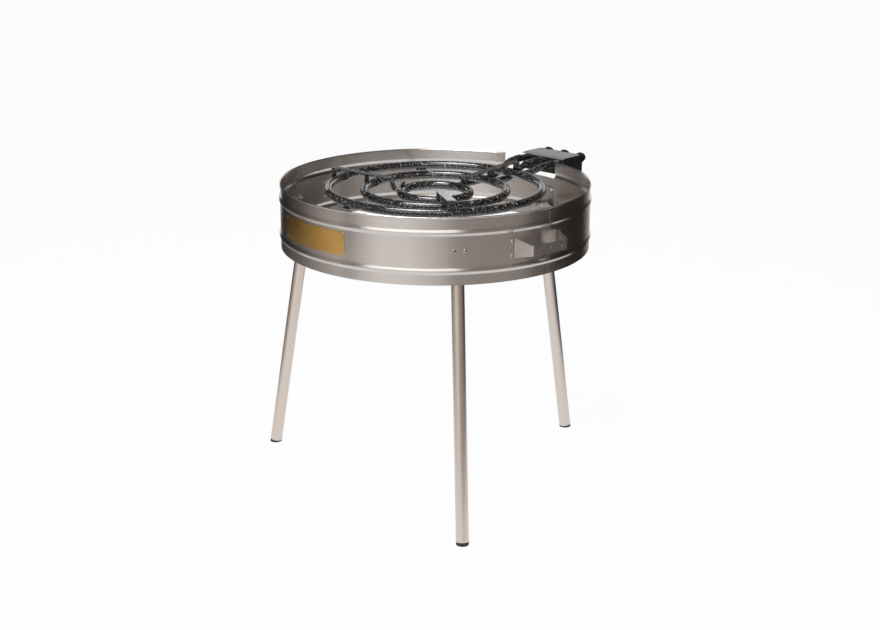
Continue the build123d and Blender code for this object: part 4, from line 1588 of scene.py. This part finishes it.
        hooked = side == self.hooked
        end = self.hook_start if hooked else self.ring_radii[2]
        line = [(faces[0], self.ring_heights[0]), (faces[0], self.strip_top), (end, top(end))]
        if hooked:
            line += self.hook
        corners = [self.site.axis + out * radius + UP * level - across / 2.0 for radius, level in line]
        fold(mesh, corners, self.hook_bend if hooked else self.strip_bend, across)
        hollow_out(mesh, UP, self.strip_sheet)
        lugs = list(zip(faces, self.ring_heights))[1:]
        for face, level in lugs[: 1 if hooked else 2]:
            lug = bmesh.ops.create_cube(mesh, size=1.0)["verts"]
            tall = top(face - self.strip_sheet) - self.strip_sheet / 2.0 - level
            bmesh.ops.scale(mesh, verts=lug, vec=(self.strip_width, self.strip_sheet, tall))
            middle = self.site.axis + out * (face - self.strip_sheet / 2.0) + UP * (level + tall / 2.0)
            bmesh.ops.transform(mesh, verts=lug, matrix=placed(middle, UP.cross(out), -out, UP))
        soften(mesh, self.strip_edge, FOLD_CREASE)
        piece(f"{side}_pan_support", mesh, BURNER, self.finishes.worn_enamel, [f"pan_support_{side}"])

    def build(self) -> None:
        """Builds the burner's pieces."""
        self.build_rings()
        for index in range(len(RINGS)):
            self.build_feed(index)
            self.build_weld(index)
            self.build_collar(index)
        for side, azimuth in self.supports:
            self.build_support(side, azimuth)
        for side in self.rests:
            node, folded = f"burner_rest_{side}", self.finishes.folded
            softened_piece(f"{side}_burner_rest", node, STAND, folded, self.rest_edge, CAD_CREASE)
        dress(self.finishes.enamel, "ring_pins")


@dataclass
class Controls:
    """The control box with its cover, valves, gas pipe and knobs."""

    site: Site
    finishes: Finishes
    width: float = 0.126
    front: float = 0.391
    far: float = 0.445
    top: float = 0.6995
    sheet: float = 0.0015
    sheet_edge: float = 0.0003
    lip: float = 0.013
    lip_drop: float = 0.0016
    lip_bend: float = 0.004
    screw_along: float = 0.436
    screw_head: float = 0.004
    screw_rise: float = 0.0018
    screw_shank: float = 0.002
    screw_length: float = 0.0032
    knob_near: float = 0.4593
    skirt_radius: float = 0.0125
    skirt_length: float = 0.0065
    grip_radius: float = 0.0098
    grip_length: float = 0.007
    recess_radius: float = 0.0086
    recess_depth: float = 0.005
    knob_edge: float = 0.001
    knob_steps: int = 64
    pointer_width: float = 0.003
    pointer_rise: float = 0.001
    pointer_edge: float = 0.0004
    flute_depth: float = 0.0006
    flute_pitch: int = 4
    flute_first: int = 2
    inlet_across: float = -0.0791
    inlet_along: float = 0.419
    inlet_height: float = 0.6665
    inlet_flats: float = 0.017
    inlet_hex: float = 0.008
    inlet_radius: float = 0.00658
    inlet_length: float = 0.012
    inlet_bore: float = 0.003
    thread_turns: int = 9
    thread_depth: float = 0.0007

    def build_cover(self) -> None:
        """Builds the cover with its bent lip and its screws."""
        mesh = bmesh.new()
        line = [(self.front - self.lip, self.top - self.lip_drop)]
        line += [(self.front, self.top), (self.far, self.top)]
        corners = [self.site.arm_point(-self.width / 2.0, along, height) for along, height in line]
        fold(mesh, corners, self.lip_bend, self.site.across * self.width)
        hollow_out(mesh, UP, self.sheet)
        soften(mesh, self.sheet_edge, FOLD_CREASE)
        piece("box_cover", mesh, BURNER, self.finishes.zinc, ["control_cover"])
        screws = bmesh.new()
        screw = Fastener(self.screw_head, self.screw_rise, self.screw_shank, self.screw_length)
        for across in FEED_ACROSS:
            spot = self.site.arm_point(across, self.screw_along, self.top + SEAT_GAP)
            screw.add(screws, placed(spot, self.site.across, self.site.along, UP))
        piece("cover_button_screws", screws, BURNER, self.finishes.fastener, ["cover_screws"])

    def build_knob(self, name: str, across: float) -> None:
        """Builds a two-step knob with a pointer rib.

        Args:
            name: the ring that it serves.
            across: its place across the arm.
        """
        mesh = bmesh.new()
        place = self.site.arm_facing(across, self.knob_near, FEED_HEIGHT)
        edge, length = self.knob_edge, self.skirt_length + self.grip_length
        hollow, depth = self.recess_radius, self.recess_depth
        outline = [(0.0, depth), (hollow, depth), (hollow, 0.0)]
        outline += arc((self.skirt_radius - edge, edge), edge, -90.0, 0.0, CORNER_STEPS)
        outline += arc((self.skirt_radius - edge, self.skirt_length - edge), edge, 0.0, 90.0, CORNER_STEPS)
        outline += arc((self.grip_radius + edge, self.skirt_length + edge), edge, 270.0, 180.0, CORNER_STEPS)
        outline += arc((self.grip_radius - edge, length - edge), edge, 0.0, 90.0, CORNER_STEPS)
        outline += [(0.0, length)]
        turned(mesh, outline, place, self.knob_steps)
        self.flute(mesh, place, length)
        rib = bmesh.ops.create_cube(mesh, size=1.0)["verts"]
        tall = self.grip_radius - edge
        bmesh.ops.scale(mesh, verts=rib, vec=(self.pointer_width, tall, 2.0 * self.pointer_rise))
        bmesh.ops.transform(mesh, verts=rib, matrix=place @ Matrix.Translation((0.0, tall / 2.0, length)))
        rounded(mesh, edges_at(rib), self.pointer_edge, EDGE_STEPS)
        piece(f"{name}_tap_knob", mesh, f"knob_{name}_body", self.finishes.knob, [f"knob_{name}"])

    def flute(self, mesh: BMesh, place: Matrix, length: float) -> None:
        """Sinks shallow finger grooves into the grip of a knob.

        Args:
            mesh: the turned knob.
            place: the middle of its seat.
            length: the knob's whole length.
        """
        back = place.inverted()
        low, high = self.skirt_length + self.knob_edge / 2.0, length - self.knob_edge / 2.0
        for vertex in mesh.verts:
            spot = back @ vertex.co
            column = round(math.atan2(spot.y, spot.x) / FULL_TURN * self.knob_steps)
            reach = math.hypot(spot.x, spot.y)
            on_grip = low < spot.z < high and reach > self.grip_radius - self.knob_edge
            if on_grip and column % self.flute_pitch == self.flute_first:
                share = 1.0 - self.flute_depth / reach
                vertex.co = place @ Vector((spot.x * share, spot.y * share, spot.z))

    def build_inlet(self) -> None:
        """Builds the threaded hose inlet at the end of the gas pipe."""
        mesh = bmesh.new()
        start = self.site.arm_point(self.inlet_across, self.inlet_along, self.inlet_height)
        place = placed(start, self.site.along, UP, -self.site.across)
        seat = place @ Matrix.Translation((0.0, 0.0, -self.inlet_hex))
        Nut(self.inlet_flats, self.inlet_hex).add(mesh, seat)
        thread = bmesh.new()
        outline = [(self.inlet_bore, 0.0)]
        for step in range(2 * self.thread_turns + 1):
            depth = self.thread_depth if step % 2 == 0 else 0.0
            outline.append((self.inlet_radius - depth, self.inlet_length * step / (2 * self.thread_turns)))
        outline.append((self.inlet_bore, self.inlet_length))
        turned(thread, outline, place, closed=True)
        data = bpy.data.meshes.new("thread")
        thread.to_mesh(data)
        thread.free()
        mesh.from_mesh(data)
        bpy.data.meshes.remove(data)
        piece("hose_inlet", mesh, BURNER, self.finishes.brass, ["gas_inlet"])

    def build(self) -> None:
        """Builds the box, cover and knobs, and dresses the gas fittings."""
        softened_piece("box_tray", "control_box", BURNER, self.finishes.paint, self.sheet_edge, FOLD_CREASE)
        self.build_cover()
        for name, across in zip(RINGS, FEED_ACROSS):
            self.build_knob(name, across)
            dress(self.finishes.brass, f"valve_body_{name}", f"injector_{name}", f"valve_plug_{name}")
            dress(self.finishes.fastener, f"valve_stem_{name}")
        self.build_inlet()
        dress(self.finishes.brass, "manifold_plug")
        dress(self.finishes.fastener, "gas_manifold", "valve_nuts")


@dataclass
class Studio:
    """Pale floor, white surroundings, soft lamps, reflector cards and the camera."""

    site: Site
    camera_azimuth: float = 51.78
    camera_reach: float = 3.4287
    camera_height: float = 1.4753
    camera_pitch: float = -17.97
    camera_roll: float = 0.20
    lens: float = 63.45
    sensor: float = 36.0
    shift: Pair = (0.0059, 0.0076)
    floor_size: float = 50.0
    floor_paint: float = 0.85
    floor_glow: float = 0.94
    card_lift: float = 0.004
    card_step: float = 4.0
    card_tint: Colour = (1.16, 1.0, 0.90)
    pale_tint: Colour = (1.03, 1.0, 0.98)
    outer_tones: tuple[Pair, ...] = (
        (-175.0, 0.028), (-150.0, 0.50), (-112.0, 0.45), (-97.0, 0.03), (-80.0, 0.024), (-56.0, 0.085),
        (-20.0, 0.52), (-9.0, 0.24), (14.0, 0.93), (34.0, 0.89), (66.0, 0.34), (112.0, 0.32),
        (122.0, 0.12), (148.0, 0.028),
    )
    outer_fade: Pair = (1.12, 0.86)
    inner_tones: tuple[Pair, ...] = (
        (-130.0, 0.015), (-112.0, 0.20), (-64.0, 0.31), (-16.0, 0.46), (0.0, 0.90), (32.0, 0.80),
        (64.0, 0.26), (112.0, 0.20), (144.0, 0.09), (170.0, 0.015),
    )
    roof_tones: tuple[Pair, ...] = ((-20.0, 0.12), (6.0, 0.60), (54.0, 0.60), (84.0, 0.12))
    rings: tuple[tuple[str, float, float, float, float], ...] = (
        ("inner_left", -110.0, -20.0, 1.0, 1.9),
        ("inner_front", -20.0, 60.0, 1.5, 1.9),
        ("inner_right", 60.0, 120.0, 1.1, 1.9),
        ("inner_back", 120.0, 250.0, 1.0, 1.9),
        ("outer", -180.0, 180.0, 1.9, 2.9),
    )
    walls: tuple[tuple[str, float, float, float], ...] = (
        ("right", 68.0, 200.0, 3.0), ("left", 262.0, 361.0, 3.0), ("front", 1.0, 68.0, 1.15),
    )
    veil: tuple[float, float, float, float] = (1.0, 68.0, 1.15, 3.0)
    veil_tones: tuple[Pair, ...] = ((0.0, 0.85), (180.0, 0.85))
    wall_reach: float = 2.9
    ceiling: tuple[Pair, ...] = ((0.01, 3.0), (3.0, 3.0), (5.0, 2.0))
    surround: float = 0.55
    lamps: tuple[tuple[str, float, float, float, Pair, float], ...] = (
        ("top_lamp", -7.0, 0.52, 2.6, (1.0, 1.0), 32.0),
        ("key_lamp", 34.0, 2.0, 2.4, (3.0, 1.4), 14.0),
    )
    lamp_aim: float = 0.62

    def lens_ray(self, recipe: Recipe) -> Value:
        """Tells the rays that show the surroundings: camera, glossy and transmission.

        Args:
            recipe: the nodes to add to.

        Returns:
            1 for these rays, else 0.
        """
        node = recipe.add("ShaderNodeLightPath").socket.node
        names = ("Is Camera Ray", "Is Glossy Ray", "Is Transmission Ray")
        camera, glossy, clear = (Value(recipe, node.outputs[name]) for name in names)
        return camera | glossy | clear

    def build_world(self) -> None:
        """Builds the white surroundings."""
        world = bpy.data.worlds.new("studio_white")
        bpy.context.scene.world = world
        world.use_nodes = True
        recipe = Recipe(world.node_tree)
        strength = recipe.stretch(self.lens_ray(recipe), 0.0, 1.0, self.surround, 1.0)
        light = recipe.add("ShaderNodeBackground", None, {"Color": WHITE, "Strength": strength})
        recipe.add("ShaderNodeOutputWorld", None, {"Surface": light})

    def build_floor(self) -> None:
        """Builds the pale floor, which keeps a soft shadow."""
        mesh = bmesh.new()
        bmesh.ops.create_grid(mesh, x_segments=1, y_segments=1, size=self.floor_size / 2.0)
        material, recipe = new_material("studio_floor")
        grey = (self.floor_paint, self.floor_paint, self.floor_paint, 1.0)
        paint = recipe.add("ShaderNodeBsdfDiffuse", None, {"Color": grey})
        glow = recipe.add("ShaderNodeEmission", None, {"Color": WHITE, "Strength": 1.0})
        share = self.lens_ray(recipe) * self.floor_glow
        recipe.end_in(recipe.add("ShaderNodeMixShader", None, {0: share, 1: paint, 2: glow}))
        new_object("studio_floor", mesh, material)

    def tone_material(self, name: str, tones: Sequence[Pair], fade: Pair = (1.0, 1.0)) -> bpy.types.Material:
        """Makes the glow of a card, graded round the drum axis and along its reach.

        Args:
            name: the material's name.
            tones: azimuths and levels, from -180 to 180 degrees.
            fade: the level's factor at the near and the far end of the outer ring.

        Returns:
            The material.
        """
        material, recipe = new_material(name)
        x, y, _ = recipe.split(recipe.point())
        x, y = x - self.site.axis.x, y - self.site.axis.y
        turn = x.maths("ARCTAN2", x, 0.0 - y) * (1.0 / FULL_TURN) + 0.5
        squared = x * x + y * y
        reach = squared.maths("SQRT", squared, 0.0)
        stops = []
        for azimuth, level in tones:
            tint = [dark + (pale - dark) * level for dark, pale in zip(self.card_tint, self.pale_tint)]
            stops.append((azimuth / 360.0 + 0.5, tuple(level * part for part in tint)))
        ramp = recipe.add("ShaderNodeValToRGB", {"stops": stops}, {0: turn})
        share = recipe.stretch(reach, *self.rings[-1][3:], *fade)
        tone = recipe.add("ShaderNodeVectorMath", {"operation": "SCALE"}, {0: ramp, "Scale": share})
        recipe.end_in(recipe.add("ShaderNodeEmission", None, {"Color": tone, "Strength": 1.0}))
        return material

    def add_card(
        self, name: str, line: Sequence[Pair], start: float, end: float, material: bpy.types.Material
    ) -> None:
        """Adds a card that only reflections show: a line swept round the drum axis.

        Args:
            name: the card's name.
            line: its reach and height pairs.
            start: the azimuth that it starts at.
            end: the azimuth that it ends at.
            material: its glow.
        """
        mesh = bmesh.new()
        edges = chain(mesh, [self.site.point(start, reach, height) for reach, height in line])
        steps = max(2, int((end - start) / self.card_step))
        spun(mesh, edges, self.site.axis, UP, math.radians(end - start), steps)
        card = new_object(f"card_{name}", mesh, material)
        card.visible_camera = False
        card.visible_diffuse = False
        card.visible_transmission = False
        card.visible_shadow = False

    def build_cards(self) -> None:
        """Builds the cards that lie and stand round the part, and the ceiling."""
        outer = self.tone_material("glow_outer", self.outer_tones, self.outer_fade)
        inner = self.tone_material("glow_inner", self.inner_tones)
        roof = self.tone_material("glow_ceiling", self.roof_tones)
        for name, start, end, near, far in self.rings:
            line = [(near, self.card_lift), (far, self.card_lift)]
            self.add_card(name, line, start, end, outer if name == "outer" else inner)
        for name, start, end, top in self.walls:
            line = [(self.wall_reach, self.card_lift), (self.wall_reach, top)]
            self.add_card(f"wall_{name}", line, start, end, outer)
        start, end, low, high = self.veil
        pale = self.tone_material("glow_veil", self.veil_tones)
        self.add_card("veil", [(self.wall_reach, low), (self.wall_reach, high)], start, end, pale)
        self.add_card("ceiling", self.ceiling, 0.0, 360.0, roof)

    def build_lamp(
        self, name: str, azimuth: float, reach: float, height: float, size: Pair, power: float
    ) -> None:
        """Builds a soft lamp that looks at the burner.

        Args:
            name: the lamp's name.
            azimuth: where it stands round the drum.
            reach: how far it stands from the drum axis.
            height: how high it hangs.
            size: its width and height.
            power: its power in watts.
        """
        data = bpy.data.lights.new(name, "AREA")
        data.shape = "RECTANGLE"
        data.size, data.size_y = size
        data.energy = power
        lamp = linked(name, data)
        lamp.location = self.site.point(azimuth, reach, height)
        aim = self.site.point(0.0, 0.0, self.lamp_aim) - lamp.location
        lamp.rotation_euler = aim.to_track_quat("-Z", "Y").to_euler()

    def build_camera(self) -> None:
        """Builds the camera at the photograph's viewing angle."""
        data = bpy.data.cameras.new("camera")
        data.lens = self.lens
        data.sensor_width = self.sensor
        data.shift_x, data.shift_y = self.shift
        camera = linked("camera", data)
        back = self.site.bearing(self.camera_azimuth)
        pitch, roll = math.radians(self.camera_pitch), math.radians(self.camera_roll)
        forward = -back * math.cos(pitch) + UP * math.sin(pitch)
        level = UP.cross(back)
        rise = level.cross(forward)
        right = level * math.cos(roll) + rise * math.sin(roll)
        above = rise * math.cos(roll) - level * math.sin(roll)
        origin = self.site.point(self.camera_azimuth, self.camera_reach, self.camera_height)
        camera.matrix_world = placed(origin, right, above, -forward)
        bpy.context.scene.camera = camera

    def build(self) -> None:
        """Builds the studio."""
        self.build_world()
        self.build_floor()
        self.build_cards()
        for lamp in self.lamps:
            self.build_lamp(*lamp)
        self.build_camera()
        bpy.context.scene.view_settings.view_transform = "Standard"


def main() -> None:
    """Builds the stand and its studio."""
    logging.basicConfig(level=logging.INFO, format="%(name)s: %(message)s")
    site = Site.from_frame()
    finishes = Finishes.for_site(site)
    for assembly in (Drum, Handles, Legs, Burner, Controls):
        assembly(site, finishes).build()
    Studio(site).build()
    bpy.context.view_layer.update()


if __name__ == "__main__":
    main()
